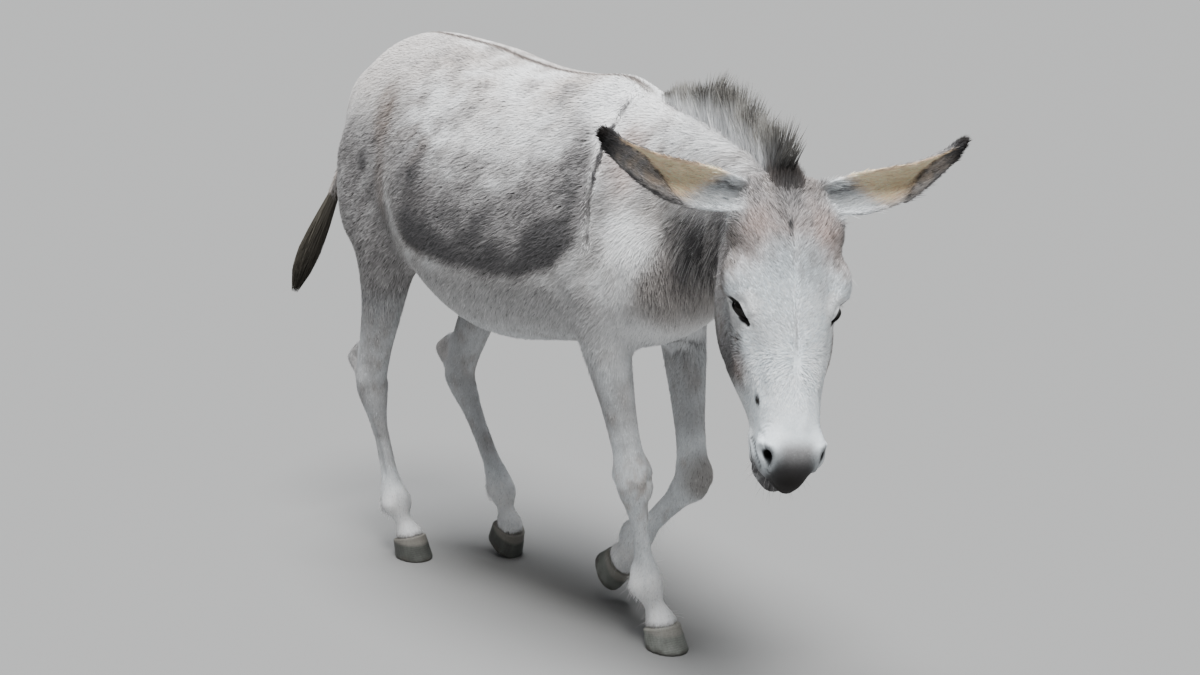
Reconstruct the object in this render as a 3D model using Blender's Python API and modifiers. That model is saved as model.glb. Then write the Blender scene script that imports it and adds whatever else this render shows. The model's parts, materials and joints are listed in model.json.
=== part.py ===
"""A grey-white donkey at life size, in mid walk, with its head lowered and turned to its right.

The animal faces -Y, its left side is +X and it stands on z = 0. Body, head and legs are lofts through
named sections. They are melted into one closed surface, which thin cuts then part into head, neck,
trunk and legs. Ears, mane, tail, eyes and hooves are solids of their own. All sizes are metres.
"""

import math

import bmesh
import bpy
import numpy as np
from mathutils import Matrix, Vector

# ---------------------------------------------------------------- driving sizes
GAP = 0.0003                    # clearance between touching solids
UP = Vector((0, 0, 1))
AHEAD = Vector((0, -1, 0))

# Topline and underline of the trunk, from the breast to the rump.
# y, top, bottom, height of the widest level, half width, fullness of the upper and lower half
TRUNK = (
    (-0.505, 0.900, 0.755, 0.830, 0.040, 2.0, 2.0),
    (-0.480, 0.990, 0.700, 0.840, 0.092, 2.0, 2.0),
    (-0.430, 1.050, 0.650, 0.850, 0.135, 1.8, 2.2),
    (-0.360, 1.100, 0.618, 0.850, 0.160, 1.7, 2.2),
    (-0.290, 1.144, 0.606, 0.840, 0.176, 1.6, 2.2),
    (-0.200, 1.138, 0.602, 0.835, 0.196, 1.8, 2.2),
    (-0.100, 1.136, 0.588, 0.825, 0.214, 2.0, 2.2),
    (0.000, 1.147, 0.574, 0.820, 0.226, 2.0, 2.2),
    (0.100, 1.170, 0.586, 0.830, 0.228, 2.0, 2.2),
    (0.190, 1.181, 0.624, 0.850, 0.220, 2.0, 2.1),
    (0.280, 1.190, 0.690, 0.890, 0.204, 2.1, 2.0),
    (0.350, 1.188, 0.760, 0.930, 0.192, 2.2, 2.0),
    (0.430, 1.150, 0.800, 0.950, 0.168, 2.1, 2.0),
    (0.500, 1.075, 0.840, 0.950, 0.120, 2.0, 2.0),
    (0.540, 1.000, 0.880, 0.940, 0.060, 2.0, 2.0),
)

# Neck: centre, half width, reach to the crest, reach to the throat.
NECK = (
    (0.000, -0.270, 0.930, 0.140, 0.190, 0.230),
    (0.000, -0.380, 0.935, 0.120, 0.166, 0.225),
    (-0.012, -0.470, 0.935, 0.098, 0.146, 0.196),
    (-0.034, -0.550, 0.935, 0.080, 0.134, 0.160),
    (-0.066, -0.630, 0.930, 0.069, 0.126, 0.138),
    (-0.106, -0.705, 0.925, 0.064, 0.120, 0.124),
    (-0.146, -0.770, 0.920, 0.062, 0.104, 0.112),
    (-0.180, -0.820, 0.925, 0.056, 0.080, 0.090),
)

# Head: its frame stands at the poll, with one axis down the face, one to the animal's left and one
# out of the face.
POLL = Vector((-0.172, -0.842, 1.013))
HEAD_TURN = math.radians(28.9)
FACE_SLOPE = math.radians(25.8)
HEAD_ROLL = math.radians(-5.5)

# Distance down the face, profile, underline, widest level, half width, fullness in front and behind.
HEAD = (
    (-0.040, -0.060, -0.110, -0.085, 0.026, 2.0, 2.0),
    (-0.018, -0.016, -0.150, -0.080, 0.052, 2.0, 2.0),
    (0.020, 0.002, -0.182, -0.080, 0.068, 2.2, 2.0),
    (0.060, 0.010, -0.214, -0.085, 0.077, 2.4, 2.4),
    (0.100, 0.014, -0.238, -0.090, 0.083, 2.4, 2.8),
    (0.150, 0.014, -0.252, -0.090, 0.087, 2.4, 3.0),
    (0.200, 0.010, -0.250, -0.095, 0.086, 2.4, 3.2),
    (0.250, 0.006, -0.236, -0.095, 0.080, 2.4, 3.2),
    (0.300, 0.002, -0.206, -0.090, 0.069, 2.4, 3.0),
    (0.350, -0.001, -0.170, -0.080, 0.058, 2.4, 2.8),
    (0.400, -0.004, -0.144, -0.070, 0.051, 2.4, 2.5),
    (0.440, -0.008, -0.130, -0.064, 0.049, 2.3, 2.2),
    (0.475, -0.022, -0.120, -0.065, 0.031, 2.2, 2.0),
    (0.495, -0.040, -0.108, -0.072, 0.017, 2.0, 2.0),
    (0.506, -0.058, -0.094, -0.077, 0.008, 2.0, 2.0),
)

# Soft masses of the head, mirrored to both sides: place, then radii down the face, across it and
# out of it.
HEAD_MASSES = (
    ((0.162, 0.084, -0.042), (0.050, 0.028, 0.034)),    # rim of the orbit
    ((0.230, 0.068, -0.072), (0.070, 0.018, 0.030)),    # cheek bone below the eye
    ((0.085, 0.066, -0.036), (0.066, 0.034, 0.036)),    # temple
    ((0.434, 0.034, -0.046), (0.037, 0.024, 0.036)),    # wing of the nostril
    ((0.412, 0.036, -0.104), (0.040, 0.020, 0.026)),    # corner of the mouth
    ((0.467, 0.005, -0.066), (0.036, 0.025, 0.038)),    # upper lip
    ((0.455, 0.004, -0.126), (0.040, 0.028, 0.024)),    # lower lip and chin
    ((0.010, 0.052, -0.056), (0.034, 0.030, 0.036)),    # root of the ear
)

# Soft masses of the body, mirrored to both sides: place, radii, tilt about X in degrees.
BODY_MASSES = (
    ((0.108, -0.330, 0.905), (0.050, 0.085, 0.170), -20),   # shoulder blade
    ((0.106, -0.400, 0.790), (0.060, 0.085, 0.110), 20),    # point of the shoulder
    ((0.122, -0.300, 0.770), (0.050, 0.090, 0.110), 0),     # triceps
    ((0.052, -0.430, 0.770), (0.070, 0.070, 0.110), 10),    # breast
    ((0.136, 0.240, 1.050), (0.040, 0.080, 0.056), 0),      # point of the hip
    ((0.062, 0.440, 0.975), (0.074, 0.105, 0.150), 0),      # buttock
    ((0.092, 0.415, 0.820), (0.058, 0.090, 0.180), 0),      # back of the thigh
    ((0.000, -0.250, 1.095), (0.034, 0.110, 0.046), 0),     # withers
)

# Limbs. A profile row is: bone, part of the way down it, half width, reach ahead, reach behind.
FORE_PROFILE = (
    (0, 0.00, 0.050, 0.080, 0.070),
    (0, 0.60, 0.054, 0.074, 0.076),
    (1, 0.00, 0.050, 0.062, 0.064),     # elbow
    (1, 0.25, 0.043, 0.052, 0.052),
    (1, 0.50, 0.034, 0.040, 0.040),
    (1, 0.75, 0.029, 0.034, 0.034),
    (1, 0.90, 0.033, 0.037, 0.036),
    (2, 0.02, 0.0375, 0.041, 0.040),    # knee
    (2, 0.14, 0.033, 0.035, 0.038),
    (2, 0.26, 0.024, 0.027, 0.030),
    (2, 0.50, 0.0195, 0.023, 0.027),
    (2, 0.76, 0.0205, 0.023, 0.030),
    (3, 0.00, 0.0290, 0.033, 0.046),    # fetlock
    (3, 0.40, 0.0255, 0.027, 0.036),
    (3, 0.75, 0.0300, 0.031, 0.036),
    (3, 1.00, 0.0345, 0.038, 0.042),    # coronet
    (3, 1.25, 0.0340, 0.037, 0.040),
)
HIND_PROFILE = (
    (0, 0.00, 0.085, 0.135, 0.130),
    (0, 0.55, 0.080, 0.115, 0.165),
    (1, 0.00, 0.066, 0.080, 0.150),     # stifle
    (1, 0.22, 0.054, 0.062, 0.098),
    (1, 0.48, 0.041, 0.052, 0.062),
    (1, 0.74, 0.033, 0.044, 0.050),
    (1, 0.92, 0.033, 0.042, 0.040),
    (2, 0.04, 0.0340, 0.041, 0.040),    # hock
    (2, 0.17, 0.0290, 0.035, 0.037),
    (2, 0.34, 0.0215, 0.025, 0.030),
    (2, 0.55, 0.0195, 0.024, 0.028),
    (2, 0.80, 0.0210, 0.025, 0.031),
    (3, 0.00, 0.0280, 0.033, 0.044),    # fetlock
    (3, 0.40, 0.0245, 0.026, 0.034),
    (3, 0.75, 0.0285, 0.030, 0.034),
    (3, 1.00, 0.0325, 0.037, 0.040),    # coronet
    (3, 1.25, 0.0320, 0.036, 0.038),
)

# Joint centres from the top of each leg to its coronet, and the tilt of the hoof in degrees (0 is
# flat on the ground, more raises the heel).
LEGS = {
    "right_fore": {
        "profile": FORE_PROFILE,
        "joints": ((-0.118, -0.400, 0.840), (-0.112, -0.318, 0.668), (-0.066, -0.352, 0.366),
                   (-0.018, -0.345, 0.134), (-0.003, -0.368, 0.046)),
        "tilt": 0,
    },
    "left_fore": {
        "profile": FORE_PROFILE,
        "joints": ((0.118, -0.400, 0.840), (0.108, -0.312, 0.664), (0.074, -0.380, 0.334),
                   (0.068, -0.218, 0.166), (0.082, -0.158, 0.106)),
        "tilt": 68,
    },
    "right_hind": {
        "profile": HIND_PROFILE,
        "joints": ((-0.100, 0.390, 0.980), (-0.128, 0.325, 0.745), (-0.108, 0.460, 0.412),
                   (-0.076, 0.422, 0.134), (-0.056, 0.402, 0.046)),
        "tilt": 0,
    },
    "left_hind": {
        "profile": HIND_PROFILE,
        "joints": ((0.100, 0.380, 0.980), (0.128, 0.262, 0.720), (0.116, 0.428, 0.400),
                   (0.120, 0.274, 0.140), (0.110, 0.246, 0.0690)),
        "tilt": 36,
    },
}
HOCK_TIP = (0.062, 0.044)       # behind and above the joint centre of the hock
HOCK_TIP_RADIUS = 0.019

# Hoof: half width and half length at the ground and at the top, heights of the top at toe and heel,
# and how far the top sits behind the sole.
HOOF_SOLE = (0.039, 0.048)
HOOF_TOP = (0.0345, 0.039)
HOOF_TOE_HEIGHT = 0.056
HOOF_HEEL_HEIGHT = 0.036
HOOF_SET_BACK = 0.016

HOOF_BLOCK = (0.062, 0.052, 0.070)      # half length, half width and depth of the block that clears a hoof

# Thin cuts that part the flesh. Head: down the face, out of it, and the way the cut runs in both.
HEAD_CUT = (0.030, -0.160, 0.047, -0.088)
HEAD_CUT_REACH = (0.200, 0.120)
# Neck: place and normal. Legs: place of a level cut.
NECK_CUT = ((-0.004, -0.445, 0.920), (0, -0.970, 0.243))
LEG_CUTS = {
    "right_fore": (-0.098, -0.325, 0.580),
    "left_fore": (0.100, -0.335, 0.580),
    "right_hind": (-0.124, 0.385, 0.660),
    "left_hind": (0.126, 0.335, 0.620),
}
NECK_CUT_REACH = (0.300, 0.200)
LEG_CUT_REACH = (0.110, 0.080)

# Ears: root on the head's frame, bend and tip as seen from the root, in the head's frame.
EAR_ROOT = (0.020, 0.050, -0.040)
EAR_TIPS = {"right": (-0.070, -0.310, -0.010), "left": (-0.087, 0.313, -0.012)}
EAR_SAG = 0.022
# Part of the ear's length, half width, depth of the cup, wall, turn of its mouth in degrees.
EAR = (
    (0.00, 0.024, 0.026, 0.016, 0),
    (0.12, 0.030, 0.034, 0.011, 4),
    (0.30, 0.037, 0.034, 0.008, 14),
    (0.50, 0.036, 0.028, 0.007, 34),
    (0.70, 0.032, 0.022, 0.007, 56),
    (0.88, 0.023, 0.015, 0.007, 70),
    (1.00, 0.012, 0.009, 0.006, 76),
)

# Tail: centre, half width, reach ahead and behind.
DOCK = (
    (0.002, 0.490, 1.040, 0.026, 0.030, 0.030),
    (0.000, 0.545, 1.018, 0.024, 0.026, 0.026),
    (-0.018, 0.584, 0.960, 0.021, 0.022, 0.022),
    (-0.050, 0.606, 0.880, 0.018, 0.019, 0.019),
    (-0.084, 0.618, 0.800, 0.015, 0.017, 0.017),
)
SWITCH = (
    (-0.0845, 0.6183, 0.7992, 0.017, 0.019, 0.019),
    (-0.110, 0.628, 0.745, 0.024, 0.028, 0.028),
    (-0.134, 0.640, 0.690, 0.028, 0.033, 0.033),
    (-0.154, 0.650, 0.640, 0.022, 0.026, 0.026),
    (-0.168, 0.658, 0.598, 0.008, 0.010, 0.010),
)

# Mane: foot of the hair on the crest, half width, and height there.
MANE = (
    (0.000, -0.385, 1.106, 0.010, 0.010),
    (-0.004, -0.436, 1.084, 0.015, 0.050),
    (-0.016, -0.500, 1.072, 0.018, 0.080),
    (-0.038, -0.565, 1.062, 0.019, 0.094),
    (-0.068, -0.635, 1.052, 0.019, 0.088),
    (-0.104, -0.705, 1.044, 0.019, 0.080),
    (-0.138, -0.768, 1.030, 0.018, 0.076),
    (-0.166, -0.822, 1.008, 0.018, 0.066),
    (-0.188, -0.866, 0.975, 0.010, 0.012),
)
MANE_ROOT = 0.030               # depth to which the hair is sunk in the neck before it is cut clear
MANE_WAVES = 11
MANE_WAVE_HEIGHT = 0.006

EYE_RADIUS = 0.0195
EYE_PLACE = (0.198, 0.071, -0.047)
EYE_CORNERS = ((0.178, 0.098, -0.058), (0.225, 0.076, -0.036))      # outer, inner
EYE_SLIT = (0.033, 0.030, 0.010)        # half length, depth and height of the cut between the lids
EYE_SLIT_PROUD = 0.010
FLESH_VOXEL = 0.0075
FLESH_FACES = 5300

COAT = (0.72, 0.72, 0.71)
COLOURS = {
    "coat": (COAT, 0.85), "mane": ((0.16, 0.13, 0.11), 0.9), "horn": ((0.42, 0.38, 0.33), 0.6),
    "eye": ((0.01, 0.008, 0.006), 0.1), "tail_hair": ((0.45, 0.38, 0.30), 0.9),
    "ear": ((0.66, 0.62, 0.56), 0.85),
}


# ---------------------------------------------------------------- small tools
def clear_scene():
    for obj in list(bpy.data.objects):
        bpy.data.objects.remove(obj, do_unlink=True)


def collection(name, in_render=True):
    made = bpy.data.collections.new(name)
    bpy.context.scene.collection.children.link(made)
    made.hide_render = not in_render
    return made


def paint(obj, colour):
    base, roughness = COLOURS[colour]
    material = bpy.data.materials.new(obj.name)
    material.use_nodes = True
    shader = material.node_tree.nodes["Principled BSDF"]
    shader.inputs["Base Color"].default_value = (*base, 1)
    shader.inputs["Roughness"].default_value = roughness
    shader.inputs["Metallic"].default_value = 0
    obj.data.materials.clear()
    obj.data.materials.append(material)


def to_object(name, mesh_data, home, colour=None):
    """An object from a finished bmesh, with its faces turned outwards."""
    bmesh.ops.recalc_face_normals(mesh_data, faces=mesh_data.faces)
    if mesh_data.calc_volume(signed=True) < 0:
        bmesh.ops.reverse_faces(mesh_data, faces=mesh_data.faces)
    mesh = bpy.data.meshes.new(name)
    mesh_data.to_mesh(mesh)
    mesh_data.free()
    mesh.shade_smooth()
    obj = bpy.data.objects.new(name, mesh)
    home.objects.link(obj)
    if colour:
        paint(obj, colour)
    return obj


def as_helper(obj):
    obj.hide_render = True
    obj.display_type = "WIRE"
    return obj


def baked(obj):
    """Replaces an object's mesh by its evaluated one and drops the modifiers."""
    bpy.context.view_layer.update()
    graph = bpy.context.evaluated_depsgraph_get()
    mesh = bpy.data.meshes.new_from_object(obj.evaluated_get(graph))
    obj.modifiers.clear()
    obj.data = mesh
    return obj


def boolean(obj, operation, other):
    modifier = obj.modifiers.new(operation.lower(), "BOOLEAN")
    modifier.operation = operation
    modifier.object = other
    return baked(obj)


def smooth_rows(rows, steps):
    """Rows of numbers refined by a Catmull-Rom curve through them."""
    rows = np.array(rows, float)
    padded = np.vstack([2 * rows[0] - rows[1], rows, 2 * rows[-1] - rows[-2]])
    out = []
    for i in range(len(rows) - 1):
        before, start, end, after = padded[i:i + 4]
        for t in np.arange(steps) / steps:
            out.append(0.5 * (2 * start + (end - before) * t
                              + (2 * before - 5 * start + 4 * end - after) * t * t
                              + (3 * start - before - 3 * end + after) * t ** 3))
    out.append(rows[-1])
    return np.array(out)


def section(half_width, ahead, behind, fullness_ahead, fullness_behind, sides):
    """Points (across, out) of a closed section made of two half super-ellipses."""
    points = []
    for i in range(sides):
        angle = 2 * math.pi * i / sides
        across, out = math.sin(angle), math.cos(angle)
        power = 2 / (fullness_ahead if out > 0 else fullness_behind)
        reach = ahead if out > 0 else behind
        points.append((half_width * math.copysign(abs(across) ** power, across),
                       reach * math.copysign(abs(out) ** power, out)))
    return points


def loft(mesh_data, rings):
    """Skins a list of closed rings of equal length and caps both ends."""
    verts = [[mesh_data.verts.new(point) for point in ring] for ring in rings]
    count = len(verts[0])
    for low, high in zip(verts, verts[1:]):
        for i in range(count):
            j = (i + 1) % count
            mesh_data.faces.new((low[i], low[j], high[j], high[i]))
    mesh_data.faces.new(verts[0][::-1])
    mesh_data.faces.new(verts[-1])


def swept(rows, ahead, steps=3, sides=24):
    """Rings along a path. A row is x, y, z, half width, reach ahead, reach behind, fullness x 2."""
    rows = [tuple(row) + (2.0,) * (8 - len(row)) for row in rows]
    fine = smooth_rows(rows, steps)
    centres = [Vector(row[:3]) for row in fine]
    rings = []
    for i, row in enumerate(fine):
        along = (centres[min(i + 1, len(fine) - 1)] - centres[max(i - 1, 0)]).normalized()
        out = (ahead - along * ahead.dot(along)).normalized()
        across = out.cross(along)
        rings.append([centres[i] + across * a + out * b for a, b in section(*row[3:], sides)])
    return rings


def ellipsoid(mesh_data, centre, radii, turn=Matrix.Identity(3), rings=16):
    placed = Matrix.Translation(centre) @ turn.to_4x4() @ Matrix.Diagonal((*radii, 1))
    bmesh.ops.create_uvsphere(mesh_data, u_segments=rings + rings // 2, v_segments=rings, radius=1,
                              matrix=placed)


# ---------------------------------------------------------------- the head's frame
def head_axes():
    """Unit vectors down the face, to the animal's left and out of the face."""
    ahead = Vector((-math.sin(HEAD_TURN), -math.cos(HEAD_TURN), 0))
    left = Vector((math.cos(HEAD_TURN), -math.sin(HEAD_TURN), 0))
    down = ahead * math.sin(FACE_SLOPE) - UP * math.cos(FACE_SLOPE)
    out = ahead * math.cos(FACE_SLOPE) + UP * math.sin(FACE_SLOPE)
    turn, tilt = math.cos(HEAD_ROLL), math.sin(HEAD_ROLL)
    return down * turn + left * tilt, left * turn - down * tilt, out


HEAD_DOWN, HEAD_LEFT, HEAD_OUT = head_axes()
HEAD_TURN_MATRIX = Matrix((HEAD_DOWN, HEAD_LEFT, HEAD_OUT)).transposed()


def on_head(down, left, out):
    return POLL + HEAD_DOWN * down + HEAD_LEFT * left + HEAD_OUT * out


# ---------------------------------------------------------------- flesh
def head_flesh(mesh_data):
    rings = []
    for down, top, under, widest, half_width, front, back in smooth_rows(HEAD, 3):
        shape = section(half_width, top - widest, widest - under, front, back, 28)
        rings.append([on_head(down, across, widest + out) for across, out in shape])
    loft(mesh_data, rings)
    for (down, across, out), radii in HEAD_MASSES:
        for side in (-1, 1):
            ellipsoid(mesh_data, on_head(down, side * across, out), radii, HEAD_TURN_MATRIX)


def body_flesh(mesh_data):
    rings = []
    for y, top, under, widest, half_width, upper, lower in smooth_rows(TRUNK, 3):
        shape = section(half_width, top - widest, widest - under, upper, lower, 36)
        rings.append([Vector((-across, y, widest + out)) for across, out in shape])
    loft(mesh_data, rings)
    loft(mesh_data, swept(NECK, UP))
    for (across, y, z), radii, tilt in BODY_MASSES:
        for side in (-1, 1):
            turn = Matrix.Rotation(math.radians(tilt), 3, "X")
            ellipsoid(mesh_data, (side * across, y, z), radii, turn)


def leg_rows(leg):
    joints = [Vector(joint) for joint in leg["joints"]]
    rows = []
    for bone, part, half_width, ahead, behind in leg["profile"]:
        place = joints[bone].lerp(joints[bone + 1], part)
        rows.append((*place, half_width, ahead, behind))
    return rows


def hock_rows(leg):
    """The heel bone and the tendon that runs from it up the back of the leg."""
    joints = [Vector(joint) for joint in leg["joints"]]
    behind, above = HOCK_TIP
    tip = joints[2] + Vector((0, behind, above))
    upper = joints[1].lerp(joints[2], 0.45) + Vector((0, 0.030, 0))
    middle = tip.lerp(upper, 0.4) - Vector((0, 0.006, 0))
    r = HOCK_TIP_RADIUS
    return ((*joints[2], 0.024, 0.024, 0.024), (*joints[2].lerp(tip, 0.6), 0.020, 0.022, 0.020),
            (*tip, r, r, r), (*middle, 0.013, 0.020, 0.012), (*upper, 0.018, 0.022, 0.012))


def legs_flesh(mesh_data):
    for name, leg in LEGS.items():
        loft(mesh_data, swept(leg_rows(leg), AHEAD, sides=20))
        if name.endswith("hind"):
            rows = hock_rows(leg)
            loft(mesh_data, swept(rows[:3], UP, sides=12))
            loft(mesh_data, swept(rows[2:], AHEAD, sides=12))
            ellipsoid(mesh_data, rows[2][:3], (HOCK_TIP_RADIUS,) * 3)


def melted_flesh(home):
    """One closed surface round all the lofts: remeshed, smoothed and thinned away from the head."""
    mesh_data = bmesh.new()
    head_flesh(mesh_data)
    body_flesh(mesh_data)
    legs_flesh(mesh_data)
    flesh = as_helper(to_object("flesh", mesh_data, home))
    remesh = flesh.modifiers.new("melt", "REMESH")
    remesh.mode = "VOXEL"
    remesh.voxel_size = FLESH_VOXEL
    baked(flesh)
    broad = flesh.vertex_groups.new(name="broad")
    coarse = flesh.vertex_groups.new(name="coarse")
    for vertex in flesh.data.vertices:
        from_poll = (vertex.co - on_head(0.22, 0, -0.08)).length
        off_head = min(max((from_poll - 0.22) / 0.12, 0), 1)
        on_trunk = min(max((vertex.co.z - 0.56) / 0.12, 0), 1)
        broad.add([vertex.index], off_head * on_trunk, "REPLACE")
        coarse.add([vertex.index], 0.86 + 0.14 * off_head * (0.45 + 0.55 * on_trunk), "REPLACE")
    for group, repeat in (("", 5), ("broad", 26)):
        smooth = flesh.modifiers.new("smooth", "SMOOTH")
        smooth.factor = 0.5
        smooth.iterations = repeat
        smooth.vertex_group = group
    thin = flesh.modifiers.new("thin", "DECIMATE")
    thin.ratio = FLESH_FACES / (2 * len(flesh.data.polygons))
    thin.vertex_group = "coarse"
    thin.vertex_group_factor = 0.1
    return baked(flesh)


# ---------------------------------------------------------------- cutting
def thin_box(mesh_data, centre, normal, run, half_run, half_width, thickness=GAP):
    """A flat box square to a normal; run is the direction in its plane that half_run follows."""
    normal = Vector(normal).normalized()
    run = (Vector(run) - normal * normal.dot(run)).normalized()
    axes = Matrix((run, normal.cross(run), normal)).transposed().to_4x4()
    size = Matrix.Diagonal((2 * half_run, 2 * half_width, thickness, 1))
    bmesh.ops.create_cube(mesh_data, size=1, matrix=Matrix.Translation(centre) @ axes @ size)


def hoof_axes(leg):
    """Toe-wards, leftwards and upwards unit vectors of a hoof."""
    tilt = math.radians(leg["tilt"])
    toe = AHEAD * math.cos(tilt) - UP * math.sin(tilt)
    up = UP * math.cos(tilt) + AHEAD * math.sin(tilt)
    return toe, Vector((1, 0, 0)), up


def hoof_cutters(mesh_data):
    """A block below each coronet, its top parallel to the sloping top of the hoof."""
    slope = math.atan2(HOOF_TOE_HEIGHT - HOOF_HEEL_HEIGHT, 2 * HOOF_TOP[1])
    half_length, half_width, depth = HOOF_BLOCK
    for leg in LEGS.values():
        toe, left, up = hoof_axes(leg)
        normal = up * math.cos(slope) - toe * math.sin(slope)
        top = Vector(leg["joints"][-1]) + normal * GAP
        thin_box(mesh_data, top - normal * depth / 2, normal, toe, half_length, half_width, depth)


def parted_flesh(flesh, home, helpers):
    """Cuts the flesh and gives each loose piece its name, by the named point nearest to its middle."""
    mesh_data = bmesh.new()
    down, out, run_down, run_out = HEAD_CUT
    run = HEAD_DOWN * run_down + HEAD_OUT * run_out
    normal = run.cross(HEAD_LEFT)
    thin_box(mesh_data, on_head(down, 0, out), normal, run, *HEAD_CUT_REACH)
    thin_box(mesh_data, NECK_CUT[0], NECK_CUT[1], UP, *NECK_CUT_REACH)
    for place in LEG_CUTS.values():
        thin_box(mesh_data, place, UP, AHEAD, *LEG_CUT_REACH)
    hoof_cutters(mesh_data)
    cutter = as_helper(to_object("cuts", mesh_data, helpers))
    boolean(flesh, "DIFFERENCE", cutter)
    middles = {"trunk": Vector((0, 0.05, 0.90)), "neck": Vector((-0.07, -0.60, 0.93)),
               "head": on_head(0.20, 0, -0.08)}
    for name, leg in LEGS.items():
        middles["leg_" + name] = Vector(leg["joints"][2])
    whole = bmesh.new()
    whole.from_mesh(flesh.data)
    nodes = {}
    for island in islands(whole):
        middle = sum((vert.co for vert in island), Vector()) / len(island)
        name = min(middles, key=lambda key: (middles[key] - middle).length)
        if len(island) > len(nodes.get(name, ())):
            nodes[name] = island
    made = {}
    for name, island in nodes.items():
        piece = whole.copy()
        piece.verts.ensure_lookup_table()
        kept = {vert.index for vert in island}
        bmesh.ops.delete(piece, geom=[v for v in piece.verts if v.index not in kept], context="VERTS")
        made[name] = to_object(name, piece, home, "coat")
    whole.free()
    return made


def islands(mesh_data):
    """Lists of the connected vertices of a mesh."""
    mesh_data.verts.index_update()
    seen = set()
    found = []
    for start in mesh_data.verts:
        if start.index in seen:
            continue
        seen.add(start.index)
        island = [start]
        for vert in island:
            for edge in vert.link_edges:
                other = edge.other_vert(vert)
                if other.index not in seen:
                    seen.add(other.index)
                    island.append(other)
        found.append(island)
    return found


def clear_of(obj, others):
    """Cuts an object back so that it clears its neighbours by the gap, and drops any crumbs."""
    for other in others:
        boolean(obj, "DIFFERENCE", other)
    mesh_data = bmesh.new()
    mesh_data.from_mesh(obj.data)
    largest = {vert.index for vert in max(islands(mesh_data), key=len)}
    crumbs = [vert for vert in mesh_data.verts if vert.index not in largest]
    bmesh.ops.delete(mesh_data, geom=crumbs, context="VERTS")
    if mesh_data.calc_volume(signed=True) < 0:
        bmesh.ops.reverse_faces(mesh_data, faces=mesh_data.faces)
    mesh_data.to_mesh(obj.data)
    mesh_data.free()
    obj.data.shade_smooth()
    return obj


def grown(obj, helpers):
    """A copy of a node, larger by the gap all round, for cutting its neighbours."""
    copy = as_helper(bpy.data.objects.new(obj.name + "_grown", obj.data.copy()))
    helpers.objects.link(copy)
    displace = copy.modifiers.new("gap", "DISPLACE")
    displace.strength = GAP
    displace.mid_level = 0
    return baked(copy)


# ---------------------------------------------------------------- hooves, eyes, ears, tail, mane
def hoof(name, leg, home):
    toe, left, up = hoof_axes(leg)
    middle_height = (HOOF_TOE_HEIGHT + HOOF_HEEL_HEIGHT) / 2
    sole = Vector(leg["joints"][-1]) + toe * HOOF_SET_BACK - up * middle_height
    rings = []
    for share in (0.0, 0.08, 0.5, 1.0):
        half_width = HOOF_SOLE[0] + (HOOF_TOP[0] - HOOF_SOLE[0]) * share
        half_length = HOOF_SOLE[1] + (HOOF_TOP[1] - HOOF_SOLE[1]) * share
        if share == 0.0:
            half_width -= 0.002
            half_length -= 0.002
        ring = []
        for across, ahead in section(half_width, half_length, half_length * 0.82, 2, 3, 20):
            part = 0.5 + 0.5 * ahead / half_length
            height = share * (HOOF_HEEL_HEIGHT + (HOOF_TOE_HEIGHT - HOOF_HEEL_HEIGHT) * part)
            back = HOOF_SET_BACK * share
            ring.append(sole + left * across + toe * (ahead - back) + up * height)
        rings.append(ring)
    mesh_data = bmesh.new()
    loft(mesh_data, rings)
    geometry = mesh_data.verts[:] + mesh_data.edges[:] + mesh_data.faces[:]
    trimmed = bmesh.ops.bisect_plane(mesh_data, geom=geometry, dist=1e-6, plane_co=(0, 0, 0),
                                     plane_no=(0, 0, 1), clear_inner=True)
    rim = [part for part in trimmed["geom_cut"] if isinstance(part, bmesh.types.BMEdge)]
    bmesh.ops.holes_fill(mesh_data, edges=rim, sides=0)
    return to_object("hoof_" + name, mesh_data, home, "horn")


def eye(side, home, head, helpers):
    """The eyeball. Its socket and the slit between the lids are cut in the head."""
    sign = -1 if side == "right" else 1
    outer, inner = (Vector((down, sign * across, out)) for down, across, out in EYE_CORNERS)
    down, across, out = EYE_PLACE
    middle = Vector((down, sign * across, out))
    slit = (outer + inner) / 2
    along = (inner - outer).normalized()
    outward = (slit - middle).normalized()
    outward = (outward - along * along.dot(outward)).normalized()
    turn = HEAD_TURN_MATRIX @ Matrix((along, outward, along.cross(outward))).transposed()
    cut = bmesh.new()
    ellipsoid(cut, on_head(*(slit + outward * EYE_SLIT_PROUD)), EYE_SLIT, turn, 8)
    boolean(head, "DIFFERENCE", as_helper(to_object("slit_" + side, cut, helpers)))
    for name, radius, owner in (("socket_", EYE_RADIUS + GAP, helpers), ("eye_", EYE_RADIUS, home)):
        ball = bmesh.new()
        matrix = Matrix.Translation(on_head(*middle)) @ turn.to_4x4()
        bmesh.ops.create_uvsphere(ball, u_segments=12, v_segments=8, radius=radius, matrix=matrix)
        made = to_object(name + side, ball, owner, "eye")
        if owner is helpers:
            boolean(head, "DIFFERENCE", as_helper(made))
    return made


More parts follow.
